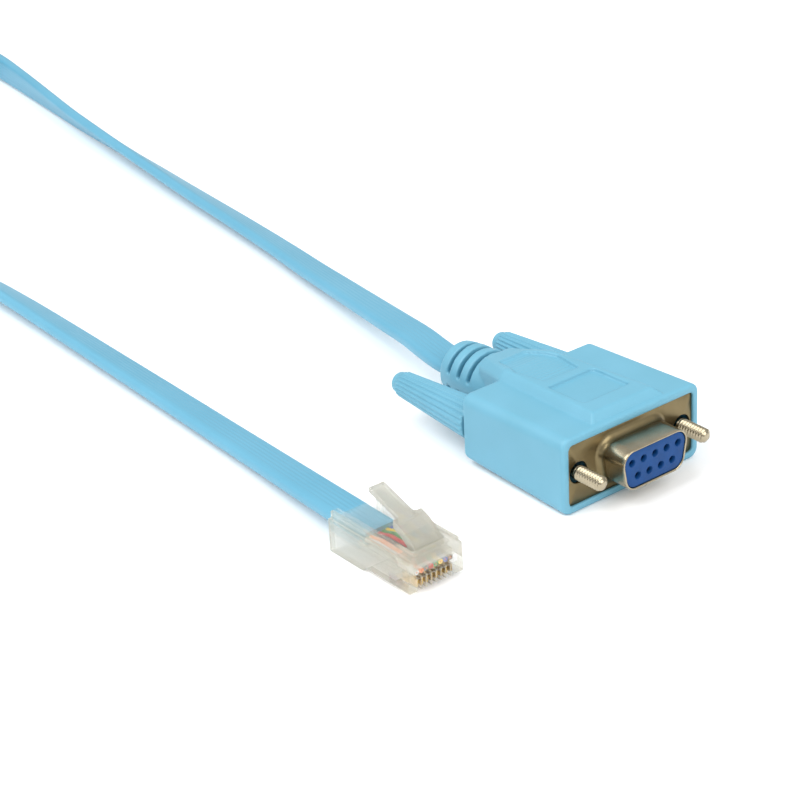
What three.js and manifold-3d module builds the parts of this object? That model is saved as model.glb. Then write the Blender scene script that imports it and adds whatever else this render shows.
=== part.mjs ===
// A flat console cable: a moulded nine-way D-sub socket with two thumbscrews at one end, a clear
// eight-way modular plug with its latch upwards at the other, and a flat eight-core lead between them.
// Millimetres. +X is the way both ends plug in, +Z is up, and the D-sub connector lies on z = 0.
import * as THREE from 'three';
import { mergeVertices } from 'three/addons/utils/BufferGeometryUtils.js';
import Module from 'manifold-3d';

const wasm = await Module();
wasm.setup();

const FIT = 0.3; // air between pieces that touch on the real cable
const OVERCUT = 1; // how far a cutting tool stands past the face it opens
const FACETS = { corner: 4, round: 24, relief: 32, pin: 12, wire: 10, coil: 48 };
const QUARTER = Math.PI / 2;

// Moulded hood
const HOOD_LENGTH = 27;
const HOOD_WIDTH = 33.07;
const HOOD_HEIGHT = 15;
const HOOD_REAR_WIDTH = 32.27;
const HOOD_REAR_HEIGHT = 13.3;
const HOOD_CORNER = 2;
const HOOD_EDGE = 0.6;
const AXIS_Z = HOOD_HEIGHT / 2;
const SCREW_SPACING = 24.99; // centre to centre of a nine-way D-sub's screws

// Raised middle of the hood's top, and its two shallow panels
const PLATEAU_RISE = 1.5;
const PLATEAU_SINK = 5.5; // how deep the raised middle reaches into the block
const PLATEAU_FRONT_GAP = 1;
const PLATEAU_FRONT_HALF = 8.7;
const PLATEAU_REAR_HALF = 7.3;
const PLATEAU_NECK_HALF = 4.4;
const PLATEAU_NECK_LENGTH = 9;
const NECK_FALL = 0.16; // extra slope of the neck behind the hood
const PANEL_DEPTH = 0.55;
const FRONT_PANEL = { near: 6.4, far: 15.7, half: 5.4, corner: 0.5 };
const REAR_PANEL = { near: 18.4, far: 31, half: 4.7, nearHalf: 3.7, farHalf: 2.9, corner: 1.4 };

// Round strain relief behind the hood
const RELIEF_END = 46.6;
const RELIEF_ROOT_RADIUS = 6;
const RELIEF_WAIST_RADIUS = 5.7;
const RELIEF_WAIST = 43;
const RELIEF_END_RADIUS = 5.2;
const RELIEF_EDGE = 0.5;
const RELIEF_SLOTS = [37.9, 40.8, 43.7];
const RELIEF_SLOT_WIDTH = 0.9;
const RELIEF_SLOT_FLOOR = 4.3;
const RELIEF_WEB = 2.3;

// Steel shell of the D-sub socket, and the window in the hood that holds its flange
const FLANGE_WIDTH = 30.81;
const FLANGE_HEIGHT = 12.55;
const FLANGE_CORNER = 1.2;
const FLANGE_THICKNESS = 0.5;
const FLANGE_FACE = -0.4;
const FLANGE_HOLE_RADIUS = 2;
const WINDOW_WIDTH = 30;
const WINDOW_HEIGHT = 11.9;
const WINDOW_CORNER = 0.8;
const SHELL_WIDTH = 16.33;
const SHELL_HEIGHT = 7.9;
const SHELL_CORNER = 2.6;
const SHELL_WALL = 0.4;
const SHELL_FRONT = 5.8;
const SHELL_SLANT = Math.tan(THREE.MathUtils.degToRad(10));
const SHELL_FOOT = 0.7; // how far the drawn sleeve spreads where it meets the flange

// Insulator and its nine sockets
const INSULATOR_FACE = 5.6;
const INSULATOR_REAR = -5.5;
const INSULATOR_INSET = SHELL_WALL + FIT;
const COLLAR_WIDTH = 17.6;
const COLLAR_HEIGHT = 9.2;
const COLLAR_LENGTH = 3.2;
const COLLAR_CORNER = 1.4;
const PIN_PITCH = 2.77;
const PIN_ROWS = 2.84;
const PIN_HOLE_RADIUS = 0.62;
const PIN_HOLE_DEPTH = 0.9;
const CHAMBER_RADIUS = 1.1;
const SOCKET_RADIUS = 0.8;
const SOCKET_BORE = 0.52;

// Thumbscrews
const SCREW_RADIUS = 1.42;
const SCREW_TIP = 5.9;
const SCREW_CHAMFER = 0.6;
const SCREW_BORE = 1.8;
const SCREW_IN_GRIP = 3.2;
const GRIP_LENGTH = 22.7;
const GRIP_RADIUS = 3.86;
const GRIP_END_RADIUS = 2.5;
const GRIP_NOSE = 1.8;
const GRIP_NOSE_RADIUS = 2.05;
const GRIP_NOSE_CHAMFER = 0.7;
const GRIP_RIBS = 14;
const GRIP_GROOVE = 0.32;
const RIB_POINTS = 4; // corners of the outline for each rib, the first of them in the groove

// Modular plug: its nose, its middle line, and the housing
const PLUG_NOSE = 1.9;
const PLUG_Y = -46.6;
const PLUG_WIDTH = 11.68;
const PLUG_LENGTH = 21.5;
const PLUG_TOP = 7.6;
const PLUG_STEP = 0.9;
const PLUG_STEP_AT = 12.4;
const PLUG_STEP_RUN = 0.9;
const PLUG_CHAMFER = 0.5;
const LEDGE_WIDTH = 0.65;
const LEDGE_DROP = 1.2;
const JACKET_Z = 4.2;
const CHANNEL_HALF = 3.4;
const CHANNEL_FLOOR = 6.3;
const CHANNEL_FRONT = 1.6;
const WIRE_Z = 4;
const WIRE_PITCH = 1.02;
const WIRE_COUNT = 8;
const WIRE_RADIUS = 0.35;
const WIRE_START = 13.1;
const WIRE_END = 0.5;
const BLADE_THICKNESS = 0.35;
const BLADE_SLOT = 0.65;
const BLADE_LENGTH = 3.6;
const BLADE_FRONT = 0.5;
const BLADE_LOW = 1.2;
const BLADE_HIGH = 2.8;

// Latch, as distances back from the nose and heights
const LATCH_WIDE_HALF = 3.1;
const LATCH_HANDLE_HALF = 1.63;
const LATCH_SHOULDER = 7;
const LATCH_BACK = 15;
const LATCH_ROOT = CHANNEL_FRONT + FIT;
const LATCH_FOOT_Z = CHANNEL_FLOOR + FIT;
const LATCH_BACK_Z = 13.4;
const LATCH_SHOULDER_Z = 11;
const LATCH_HANDLE_DEPTH = 1;
const LATCH_WIDE_DEPTH = 1.7;
const LATCH_ROOT_RISE = 1.2;
const LATCH_TOE = { back: 2.6, z: LATCH_FOOT_Z + 0.1 };
const LATCH_BEND = { back: 3.6, z: 9.4, underBack: 4.4, underZ: 8.2 };
const LATCH_NECK = { back: 6, z: 10.6, underZ: 9.5 };
const LATCH_CORNER = 0.12;
const HANDLE_CORNER = 0.2;

// Flat lead
const CABLE_WIDTH = 7.4;
const CABLE_THICKNESS = 2.4;
const CABLE_CORNER = 1.0;
const CABLE_STEP = 9; // length of one facet along the lead
const COIL_LOW = 0.9;
const LAYER_GAP = 0.1; // air between the coil's two layers
const COIL_HIGH = COIL_LOW + 2 * CABLE_WIDTH + LAYER_GAP;
const COIL = { x: -330, y: -5, outer: 43.4, inner: 31, corner: 1.2 };
const OUTER_TURN = 42; // radius of the lead's own middle line where it comes in and goes out
const LOWER_TURN = COIL_LOW + CABLE_WIDTH / 2;
const UPPER_TURN = COIL_HIGH - CABLE_WIDTH / 2;
const TIE_THICKNESS = 0.6;
const TIE_WIDTH = 8;

// The whole model moves forward by this much, so that the connector's box is centred on x = 0
const SHIFT = (HOOD_LENGTH + FIT + GRIP_LENGTH - SCREW_TIP) / 2;

// Where the lead runs, chosen by hand, as [x, y, z, lean]. The lean is the turn of the flat section
// about the lead in degrees: 0 lies flat, 90 stands on edge as in the coil.
const DB9_RUN = [
  [-RELIEF_END - FIT, 0, AXIS_Z, 0], [-49.5, 0, AXIS_Z, 0], [-55.5, 1.1, 7.35, 1], [-63, 3.0, 7.0, 2],
  [-74, 5.4, 6.1, 4], [-86.5, 8.3, 4.9, 7], [-99, 11.1, 3.8, 10], [-112, 13.6, 3.0, 13],
  [-124, 15.7, 2.7, 17], [-136, 17.4, 2.6, 20], [-148.5, 18.8, 2.7, 23], [-161, 20.1, 2.8, 26],
  [-174, 21.4, 3.0, 30], [-187.5, 22.9, 3.2, 35], [-201.5, 24.4, 3.4, 41], [-216, 26.0, 3.6, 48],
  [-231.5, 27.8, 3.8, 56], [-247.5, 30.2, 3.95, 65], [-265, 32.9, 4.1, 75],
  [-282.5, 35.3, 4.3, 84], [-300, 36.7, 4.5, 90], [-314, COIL.y + OUTER_TURN, LOWER_TURN, 90],
];
const RJ45_RUN = [
  [PLUG_NOSE - WIRE_START - FIT, PLUG_Y, JACKET_Z, 0], [-16, PLUG_Y, JACKET_Z, 0],
  [-22.6, -46.3, 4.15, 1], [-36, -45.2, 3.5, 4], [-50, -43.8, 2.6, 7], [-64.5, -42.9, 2.2, 10],
  [-79, -42.3, 2.15, 13], [-94, -41.8, 2.2, 16], [-110, -41.4, 2.35, 19], [-126, -41.0, 2.5, 22],
  [-143.5, -40.7, 2.7, 26], [-160, -40.8, 2.9, 31], [-178, -41.3, 3.2, 38], [-196, -42.0, 3.5, 47],
  [-214, -42.9, 3.8, 57], [-232, -43.9, 4.3, 68], [-250, -45.0, 5.2, 78], [-268, -46.0, 6.8, 86],
  [-285, -46.7, 8.9, 90], [-300, -47, 10.9, 90], [-314, COIL.y - OUTER_TURN, UPPER_TURN, 90],
];

const FINISH = {
  jacket: { color: '#7fc2dc', roughness: 0.5, metalness: 0 },
  steel: { color: '#b9b3a8', roughness: 0.28, metalness: 1 },
  insulator: { color: '#1f4fb0', roughness: 0.45, metalness: 0 },
  gold: { color: '#d4a94a', roughness: 0.25, metalness: 1 },
  clear: { color: '#dfe6df', roughness: 0.12, metalness: 0 },
  tie: { color: '#2a2c30', roughness: 0.6, metalness: 0 },
};
const WIRE_COLOURS = [
  '#c9ccc9', '#ef7d22', '#22211f', '#c92a2a', '#2f8f3a', '#e6c229', '#3a55a8', '#7a4a2b',
];

// Solids

function toManifold(geometry) {
  const bare = geometry.clone();
  bare.deleteAttribute('normal');
  bare.deleteAttribute('uv');
  const welded = mergeVertices(bare, 1e-5);
  return new wasm.Manifold(new wasm.Mesh({
    numProp: 3,
    vertProperties: new Float32Array(welded.attributes.position.array),
    triVerts: new Uint32Array(welded.index.array),
  }));
}

function toGeometry(solid) {
  const mesh = solid.getMesh();
  const geometry = new THREE.BufferGeometry();
  geometry.setAttribute('position', new THREE.BufferAttribute(Float32Array.from(mesh.vertProperties), 3));
  geometry.setIndex(new THREE.BufferAttribute(Uint32Array.from(mesh.triVerts), 1));
  return geometry;
}

const join = (...parts) => parts.reduce((all, part) => all.add(part));
const cut = (solid, ...tools) => tools.reduce((rest, tool) => rest.subtract(tool), solid);

function box(low, high) {
  const size = high.map((value, i) => value - low[i]);
  const geometry = new THREE.BoxGeometry(...size);
  geometry.translate(...low.map((value, i) => value + size[i] / 2));
  return toManifold(geometry);
}

// Flat outline of [x, y] corners, each rounded by the same radius, or sharp
function outline(corners, radius = 0) {
  const points = corners.map(([x, y]) => new THREE.Vector2(x, y));
  if (radius === 0) return new THREE.Shape(points);
  const shape = new THREE.Shape();
  points.forEach((corner, i) => {
    const before = points[(i + points.length - 1) % points.length];
    const after = points[(i + 1) % points.length];
    const start = corner.clone().add(before.clone().sub(corner).setLength(radius));
    const end = corner.clone().add(after.clone().sub(corner).setLength(radius));
    if (i === 0) shape.moveTo(start.x, start.y);
    else shape.lineTo(start.x, start.y);
    shape.quadraticCurveTo(corner.x, corner.y, end.x, end.y);
  });
  shape.closePath();
  return shape;
}

const rectangle = (halfWidth, halfHeight, radius) => outline(
  [[-halfWidth, -halfHeight], [halfWidth, -halfHeight], [halfWidth, halfHeight], [-halfWidth, halfHeight]],
  radius,
);

// The D outline of the shell, wide at the top, drawn in by the same inset all round
function dOutline(inset) {
  const top = SHELL_HEIGHT / 2 - inset;
  const half = SHELL_WIDTH / 2 - inset;
  const low = half - 2 * top * SHELL_SLANT;
  return outline([[-half, top], [-low, -top], [low, -top], [half, top]], SHELL_CORNER - inset);
}

// A (y, z) outline about the connector's axis, run along X
function alongX(shape, from, to, options = {}) {
  const { z = AXIS_Z, bevel = 0 } = options;
  const geometry = new THREE.ExtrudeGeometry(shape, {
    depth: to - from - 2 * bevel,
    bevelEnabled: bevel > 0,
    bevelThickness: bevel,
    bevelSize: bevel,
    bevelOffset: -bevel,
    bevelSegments: 2,
    curveSegments: FACETS.corner,
  });
  geometry.applyMatrix4(new THREE.Matrix4().makeBasis(
    new THREE.Vector3(0, 1, 0), new THREE.Vector3(0, 0, 1), new THREE.Vector3(1, 0, 0),
  ));
  geometry.translate(from + bevel, 0, z);
  return geometry;
}

// A round solid on a line along X, from [x, radius] pairs that begin and end on the axis or close up
function turned(profile, y, z, facets = FACETS.round) {
  const geometry = new THREE.LatheGeometry(profile.map(([x, r]) => new THREE.Vector2(r, x)), facets);
  geometry.rotateZ(-QUARTER);
  geometry.translate(0, y, z);
  return toManifold(geometry);
}

const rod = (from, to, radius, y, z = AXIS_Z, facets = FACETS.round) => turned(
  [[from, 0], [from, radius], [to, radius], [to, 0]], y, z, facets,
);

// Moulded hood

const topFall = (x) => {
  const along = (HOOD_HEIGHT - HOOD_REAR_HEIGHT) / 2 / HOOD_LENGTH;
  return -x * along + Math.max(0, -x - HOOD_LENGTH) * NECK_FALL;
};

function eachPoint(geometry, change) {
  const place = geometry.attributes.position;
  for (let i = 0; i < place.count; i += 1) {
    place.setXYZ(i, ...change(place.getX(i), place.getY(i), place.getZ(i)));
  }
  return geometry;
}

// A plan outline given as [distance behind the front, y], run upwards and then bent to the sloping top
function onTop(shape, low, high, chamfer = 0) {
  const geometry = new THREE.ExtrudeGeometry(shape, {
    depth: high - low - chamfer,
    bevelEnabled: chamfer > 0,
    bevelThickness: chamfer,
    bevelSize: chamfer,
    bevelOffset: -chamfer,
    bevelSegments: 1,
    curveSegments: FACETS.corner,
  });
  geometry.translate(0, 0, low);
  return toManifold(eachPoint(geometry, (x, y, z) => [x, y, z - topFall(x)]));
}

function plateau() {
  const front = -PLATEAU_FRONT_GAP;
  const neck = -HOOD_LENGTH - PLATEAU_NECK_LENGTH;
  const half = [[front, PLATEAU_FRONT_HALF], [-HOOD_LENGTH, PLATEAU_REAR_HALF], [neck, PLATEAU_NECK_HALF]];
  const corners = [...half, ...half.map(([x, y]) => [x, -y]).reverse()];
  const top = HOOD_HEIGHT + PLATEAU_RISE;
  return onTop(outline(corners), HOOD_HEIGHT - PLATEAU_SINK, top, PLATEAU_RISE);
}

function panels() {
  const floor = HOOD_HEIGHT + PLATEAU_RISE - PANEL_DEPTH;
  const { near, far, half, corner } = FRONT_PANEL;
  const front = outline([[-near, half], [-far, half], [-far, -half], [-near, -half]], corner);
  const side = [
    [-REAR_PANEL.near, REAR_PANEL.nearHalf], [-(REAR_PANEL.near + REAR_PANEL.far) / 2, REAR_PANEL.half],
    [-REAR_PANEL.far, REAR_PANEL.farHalf],
  ];
  const rear = outline([...side, ...side.map(([x, y]) => [x, -y]).reverse()], REAR_PANEL.corner);
  return [front, rear].map((shape) => onTop(shape, floor, floor + PANEL_DEPTH + OVERCUT));
}

function strainRelief() {
  const body = turned([
    [-RELIEF_END, 0], [-RELIEF_END, RELIEF_END_RADIUS - RELIEF_EDGE],
    [-RELIEF_END + RELIEF_EDGE, RELIEF_END_RADIUS], [-RELIEF_WAIST, RELIEF_WAIST_RADIUS],
    [-HOOD_LENGTH + OVERCUT, RELIEF_ROOT_RADIUS], [-HOOD_LENGTH + OVERCUT, 0],
  ], 0, AXIS_Z, FACETS.relief);
  const reach = RELIEF_ROOT_RADIUS + OVERCUT;
  const slots = RELIEF_SLOTS.map((behind) => {
    const [from, to] = [-behind - RELIEF_SLOT_WIDTH / 2, -behind + RELIEF_SLOT_WIDTH / 2];
    const ring = turned([
      [from, RELIEF_SLOT_FLOOR], [to, RELIEF_SLOT_FLOOR], [to, reach], [from, reach],
      [from, RELIEF_SLOT_FLOOR],
    ], 0, AXIS_Z, FACETS.relief);
    const web = box(
      [from - OVERCUT, -reach, AXIS_Z - RELIEF_WEB / 2], [to + OVERCUT, reach, AXIS_Z + RELIEF_WEB / 2],
    );
    return cut(ring, web);
  });
  return cut(body, ...slots);
}

function hood() {
  const shrink = (x, rear, front) => 1 - (1 - rear / front) * (-x / HOOD_LENGTH);
  const block = alongX(
    rectangle(HOOD_WIDTH / 2, HOOD_HEIGHT / 2, HOOD_CORNER), -HOOD_LENGTH, 0, { bevel: HOOD_EDGE },
  );
  eachPoint(block, (x, y, z) => [
    x,
    y * shrink(x, HOOD_REAR_WIDTH, HOOD_WIDTH),
    AXIS_Z + (z - AXIS_Z) * shrink(x, HOOD_REAR_HEIGHT, HOOD_HEIGHT),
  ]);
  const grooveFront = FLANGE_FACE + FIT / 2;
  const grooveRear = FLANGE_FACE - FLANGE_THICKNESS - FIT;
  const groove = alongX(
    rectangle(FLANGE_WIDTH / 2 + FIT, FLANGE_HEIGHT / 2 + FIT, FLANGE_CORNER), grooveRear, grooveFront,
  );
  const window = alongX(
    rectangle(WINDOW_WIDTH / 2, WINDOW_HEIGHT / 2, WINDOW_CORNER), grooveRear, OVERCUT,
  );
  const pocket = alongX(
    rectangle(COLLAR_WIDTH / 2 + FIT, COLLAR_HEIGHT / 2 + FIT, COLLAR_CORNER),
    INSULATOR_REAR - FIT,
    grooveRear + FIT,
  );
  const bores = [-1, 1].map((side) => rod(
    -HOOD_LENGTH - OVERCUT, OVERCUT, SCREW_BORE, side * SCREW_SPACING / 2,
  ));
  const raised = cut(plateau(), ...panels());
  return cut(
    join(toManifold(block), raised, strainRelief()),
    toManifold(groove), toManifold(window), toManifold(pocket), ...bores,
  );
}

// D-sub socket

function frontShell() {
  const plate = toManifold(alongX(
    rectangle(FLANGE_WIDTH / 2, FLANGE_HEIGHT / 2, FLANGE_CORNER),
    FLANGE_FACE - FLANGE_THICKNESS,
    FLANGE_FACE,
  ));
  const sleeve = toManifold(alongX(dOutline(0), FLANGE_FACE - FLANGE_THICKNESS, SHELL_FRONT));
  const foot = toManifold(alongX(
    dOutline(-SHELL_FOOT),
    FLANGE_FACE - FLANGE_THICKNESS - SHELL_FOOT,
    FLANGE_FACE + SHELL_FOOT,
    { bevel: SHELL_FOOT },
  ));
  const mouth = toManifold(alongX(dOutline(SHELL_WALL), FLANGE_FACE - 2 * OVERCUT, SHELL_FRONT + OVERCUT));
  const back = box(
    [FLANGE_FACE - 3 * OVERCUT, -HOOD_WIDTH, 0],
    [FLANGE_FACE - FLANGE_THICKNESS, HOOD_WIDTH, HOOD_HEIGHT],
  );
  const holes = [-1, 1].map((side) => rod(
    FLANGE_FACE - 2 * OVERCUT, OVERCUT, FLANGE_HOLE_RADIUS, side * SCREW_SPACING / 2,
  ));
  return cut(join(plate, sleeve, foot), mouth, back, ...holes);
}

// The nine places, five above four, as [y, z]
const PIN_PLACES = [5, 4].flatMap((count, row) => Array.from({ length: count }, (_, i) => [
  (i - (count - 1) / 2) * PIN_PITCH, AXIS_Z + (row === 0 ? 1 : -1) * PIN_ROWS / 2,
]));

function insulator() {
  const body = toManifold(alongX(dOutline(INSULATOR_INSET), INSULATOR_REAR, INSULATOR_FACE));
  const collarFront = FLANGE_FACE - FLANGE_THICKNESS - FIT;
  const collar = toManifold(alongX(
    rectangle(COLLAR_WIDTH / 2, COLLAR_HEIGHT / 2, COLLAR_CORNER), collarFront - COLLAR_LENGTH, collarFront,
  ));
  const holes = PIN_PLACES.flatMap(([y, z]) => [
    rod(INSULATOR_FACE - 2 * PIN_HOLE_DEPTH, INSULATOR_FACE + OVERCUT, PIN_HOLE_RADIUS, y, z, FACETS.pin),
    rod(INSULATOR_REAR - OVERCUT, INSULATOR_FACE - PIN_HOLE_DEPTH, CHAMBER_RADIUS, y, z, FACETS.pin),
  ]);
  return cut(join(body, collar), ...holes);
}

function socket([y, z]) {
  const [from, to] = [INSULATOR_REAR + FIT, INSULATOR_FACE - PIN_HOLE_DEPTH - FIT];
  return turned([
    [from, SOCKET_BORE], [from, SOCKET_RADIUS], [to, SOCKET_RADIUS], [to, SOCKET_BORE], [from, SOCKET_BORE],
  ], y, z, FACETS.pin);
}

// Thumbscrews

function jackscrew(side) {
  const rear = -HOOD_LENGTH - FIT - SCREW_IN_GRIP;
  return turned([
    [rear, 0], [rear, SCREW_RADIUS], [SCREW_TIP - SCREW_CHAMFER, SCREW_RADIUS],
    [SCREW_TIP, SCREW_RADIUS - SCREW_CHAMFER], [SCREW_TIP, 0],
  ], side * SCREW_SPACING / 2, AXIS_Z);
}

function thumbGrip(side) {
  const [front, rear] = [-HOOD_LENGTH - FIT, -HOOD_LENGTH - FIT - GRIP_LENGTH];
  const ribEnd = rear + GRIP_NOSE;
  const steps = GRIP_RIBS * RIB_POINTS;
  const ribbed = new THREE.Shape(Array.from({ length: steps }, (_, i) => {
    const radius = GRIP_RADIUS - (i % RIB_POINTS === 0 ? GRIP_GROOVE : 0);
    const turn = (i + 0.5) / steps * 2 * Math.PI;
    return new THREE.Vector2(radius * Math.cos(turn), radius * Math.sin(turn));
  }));
  const body = alongX(ribbed, ribEnd, front, { z: 0 });
  eachPoint(body, (x, y, z) => {
    const scale = THREE.MathUtils.lerp(1, GRIP_END_RADIUS / GRIP_RADIUS, (front - x) / (front - ribEnd));
    return [x, side * SCREW_SPACING / 2 + y * scale, AXIS_Z + z * scale];
  });
  const nose = turned([
    [rear, 0], [rear, GRIP_NOSE_RADIUS - GRIP_NOSE_CHAMFER], [rear + GRIP_NOSE_CHAMFER, GRIP_NOSE_RADIUS],
    [ribEnd + OVERCUT, GRIP_NOSE_RADIUS], [ribEnd + OVERCUT, 0],
  ], side * SCREW_SPACING / 2, AXIS_Z);
  const bore = rod(
    front - SCREW_IN_GRIP - FIT, front + OVERCUT, SCREW_RADIUS + FIT, side * SCREW_SPACING / 2,
  );
  return cut(join(toManifold(body), nose), bore);
}

// Modular plug. A side outline is given as [distance behind the nose, height] and run across the plug.

function acrossPlug(points, halfWidth, radius) {
  const geometry = new THREE.ExtrudeGeometry(outline(points, radius), {
    depth: 2 * halfWidth, bevelEnabled: false, curveSegments: 3,
  });
  geometry.applyMatrix4(new THREE.Matrix4().makeBasis(
    new THREE.Vector3(-1, 0, 0), new THREE.Vector3(0, 0, 1), new THREE.Vector3(0, 1, 0),
  ));
  geometry.translate(PLUG_NOSE, PLUG_Y - halfWidth, 0);
  return toManifold(geometry);
}

const wirePlace = (i) => PLUG_Y + (i - (WIRE_COUNT - 1) / 2) * WIRE_PITCH;
const eachWire = (make) => Array.from({ length: WIRE_COUNT }, (_, i) => make(i));

function plugHousing() {
  const body = acrossPlug([
    [0, PLUG_STEP], [0, PLUG_TOP], [PLUG_LENGTH, PLUG_TOP], [PLUG_LENGTH, 0],
    [PLUG_STEP_AT, 0], [PLUG_STEP_AT - PLUG_STEP_RUN, PLUG_STEP],
  ], PLUG_WIDTH / 2, PLUG_CHAMFER);
  const [rear, nose] = [PLUG_NOSE - PLUG_LENGTH, PLUG_NOSE];
  const ledges = [-1, 1].map((side) => {
    const inside = PLUG_Y + side * (PLUG_WIDTH / 2 - LEDGE_WIDTH);
    const outside = PLUG_Y + side * (PLUG_WIDTH / 2 + OVERCUT);
    return box(
      [rear - OVERCUT, Math.min(inside, outside), PLUG_TOP - LEDGE_DROP],
      [nose + OVERCUT, Math.max(inside, outside), PLUG_TOP + OVERCUT],
    );
  });
  const channel = box(
    [rear - OVERCUT, PLUG_Y - CHANNEL_HALF, CHANNEL_FLOOR],
    [nose - CHANNEL_FRONT, PLUG_Y + CHANNEL_HALF, PLUG_TOP + OVERCUT],
  );
  const jacketRoom = box(
    [rear - OVERCUT, PLUG_Y - CABLE_WIDTH / 2 - FIT, JACKET_Z - CABLE_THICKNESS / 2 - FIT],
    [nose - WIRE_START, PLUG_Y + CABLE_WIDTH / 2 + FIT, JACKET_Z + CABLE_THICKNESS / 2 + FIT],
  );
  const wireHalf = (WIRE_COUNT - 1) / 2 * WIRE_PITCH + WIRE_RADIUS + FIT;
  const wireRoom = box(
    [nose - WIRE_START - OVERCUT, PLUG_Y - wireHalf, WIRE_Z - WIRE_RADIUS - FIT],
    [nose + OVERCUT, PLUG_Y + wireHalf, WIRE_Z + WIRE_RADIUS + FIT],
  );
  const bladeRooms = eachWire((i) => box(
    [nose - BLADE_FRONT - BLADE_LENGTH - FIT, wirePlace(i) - BLADE_SLOT / 2, PLUG_STEP - OVERCUT],
    [nose + OVERCUT, wirePlace(i) + BLADE_SLOT / 2, BLADE_HIGH + FIT / 2],
  ));
  return cut(body, ...ledges, channel, jacketRoom, wireRoom, ...bladeRooms);
}

function plugLatch() {
  const wide = acrossPlug([
    [LATCH_ROOT, LATCH_FOOT_Z], [LATCH_ROOT, LATCH_FOOT_Z + LATCH_ROOT_RISE], [LATCH_BEND.back, LATCH_BEND.z],
    [LATCH_SHOULDER, LATCH_SHOULDER_Z], [LATCH_SHOULDER, LATCH_SHOULDER_Z - LATCH_WIDE_DEPTH],
    [LATCH_BEND.underBack, LATCH_BEND.underZ], [LATCH_TOE.back, LATCH_TOE.z],
  ], LATCH_WIDE_HALF, LATCH_CORNER);
  const handle = acrossPlug([
    [LATCH_NECK.back, LATCH_NECK.z], [LATCH_BACK, LATCH_BACK_Z],
    [LATCH_BACK, LATCH_BACK_Z - LATCH_HANDLE_DEPTH], [LATCH_NECK.back, LATCH_NECK.underZ],
  ], LATCH_HANDLE_HALF, HANDLE_CORNER);
  return join(wide, handle);
}

const plugWire = (i) => rod(
  PLUG_NOSE - WIRE_START + FIT, PLUG_NOSE - WIRE_END, WIRE_RADIUS, wirePlace(i), WIRE_Z, FACETS.wire,
);

const plugBlade = (i) => box(
  [PLUG_NOSE - BLADE_FRONT - BLADE_LENGTH, wirePlace(i) - BLADE_THICKNESS / 2, BLADE_LOW],
  [PLUG_NOSE - BLADE_FRONT, wirePlace(i) + BLADE_THICKNESS / 2, BLADE_HIGH],
);

// Flat lead

// A smooth path that also says how far the flat section leans at each step
class LeadPath extends THREE.CatmullRomCurve3 {
  constructor(points) {
    super(points.map(([x, y, z]) => new THREE.Vector3(x, y, z)), false, 'centripetal');
    this.leans = points.map((point) => THREE.MathUtils.degToRad(point[3]));
  }

  leanAt(share) {
    const at = this.getUtoTmapping(share) * (this.leans.length - 1);
    const low = Math.min(Math.floor(at), this.leans.length - 2);
    return THREE.MathUtils.lerp(this.leans[low], this.leans[low + 1], at - low);
  }

  // The section's own x follows the normal, across its thickness, and its y the binormal
  computeFrenetFrames(segments) {
    const up = new THREE.Vector3(0, 0, 1);
    const frames = { tangents: [], normals: [], binormals: [] };
    for (let i = 0; i <= segments; i += 1) {
      const tangent = this.getTangentAt(i / segments);
      const across = new THREE.Vector3().crossVectors(up, tangent).normalize();
      const face = new THREE.Vector3().crossVectors(tangent, across);
      const lean = this.leanAt(i / segments) * Math.sign(-tangent.x);
      const normal = face.multiplyScalar(Math.cos(lean)).addScaledVector(across, -Math.sin(lean)).normalize();
      frames.tangents.push(tangent);
      frames.normals.push(normal);
      frames.binormals.push(new THREE.Vector3().crossVectors(tangent, normal));
    }
    return frames;
  }
}

function leadRun(points) {
  const path = new LeadPath(points);
  const section = rectangle(CABLE_THICKNESS / 2, CABLE_WIDTH / 2, CABLE_CORNER);
  const geometry = new THREE.ExtrudeGeometry(section, {
    steps: Math.round(path.getLength() / CABLE_STEP),
    extrudePath: path,
    curveSegments: 2,
    bevelEnabled: false,
  });
  return toManifold(geometry);
}

function coil() {
  const { inner, outer, corner } = COIL;
  const profile = [
    [inner, COIL_LOW + corner], [inner + corner, COIL_LOW], [outer - corner, COIL_LOW],
    [outer, COIL_LOW + corner], [outer, COIL_HIGH - corner], [outer - corner, COIL_HIGH],
    [inner + corner, COIL_HIGH], [inner, COIL_HIGH - corner], [inner, COIL_LOW + corner],
  ];
  const geometry = new THREE.LatheGeometry(profile.map(([r, z]) => new THREE.Vector2(r, z)), FACETS.coil);
  geometry.rotateX(QUARTER);
  geometry.translate(COIL.x, COIL.y, 0);
  return toManifold(geometry);
}

// A strap round the coil's own section, on the side away from the connectors
function coilTie() {
  const [near, far] = [COIL.x - COIL.inner + FIT, COIL.x - COIL.outer - FIT];
  const [low, high] = [COIL_LOW - FIT, COIL_HIGH + FIT];
  const half = TIE_WIDTH / 2;
  const strap = box(
    [far - TIE_THICKNESS, COIL.y - half, low - TIE_THICKNESS],
    [near + TIE_THICKNESS, COIL.y + half, high + TIE_THICKNESS],
  );
  const room = box([far, COIL.y - half - OVERCUT, low], [near, COIL.y + half + OVERCUT, high]);
  return cut(strap, room);
}

// Assembly

const group = new THREE.Group();
group.name = 'console_cable';

function add(name, solid, { color, roughness, metalness }) {
  const mesh = new THREE.Mesh(
    toGeometry(solid.translate([SHIFT, 0, 0])),
    new THREE.MeshStandardMaterial({ color, roughness, metalness }),
  );
  mesh.name = name;
  group.add(mesh);
}

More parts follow.
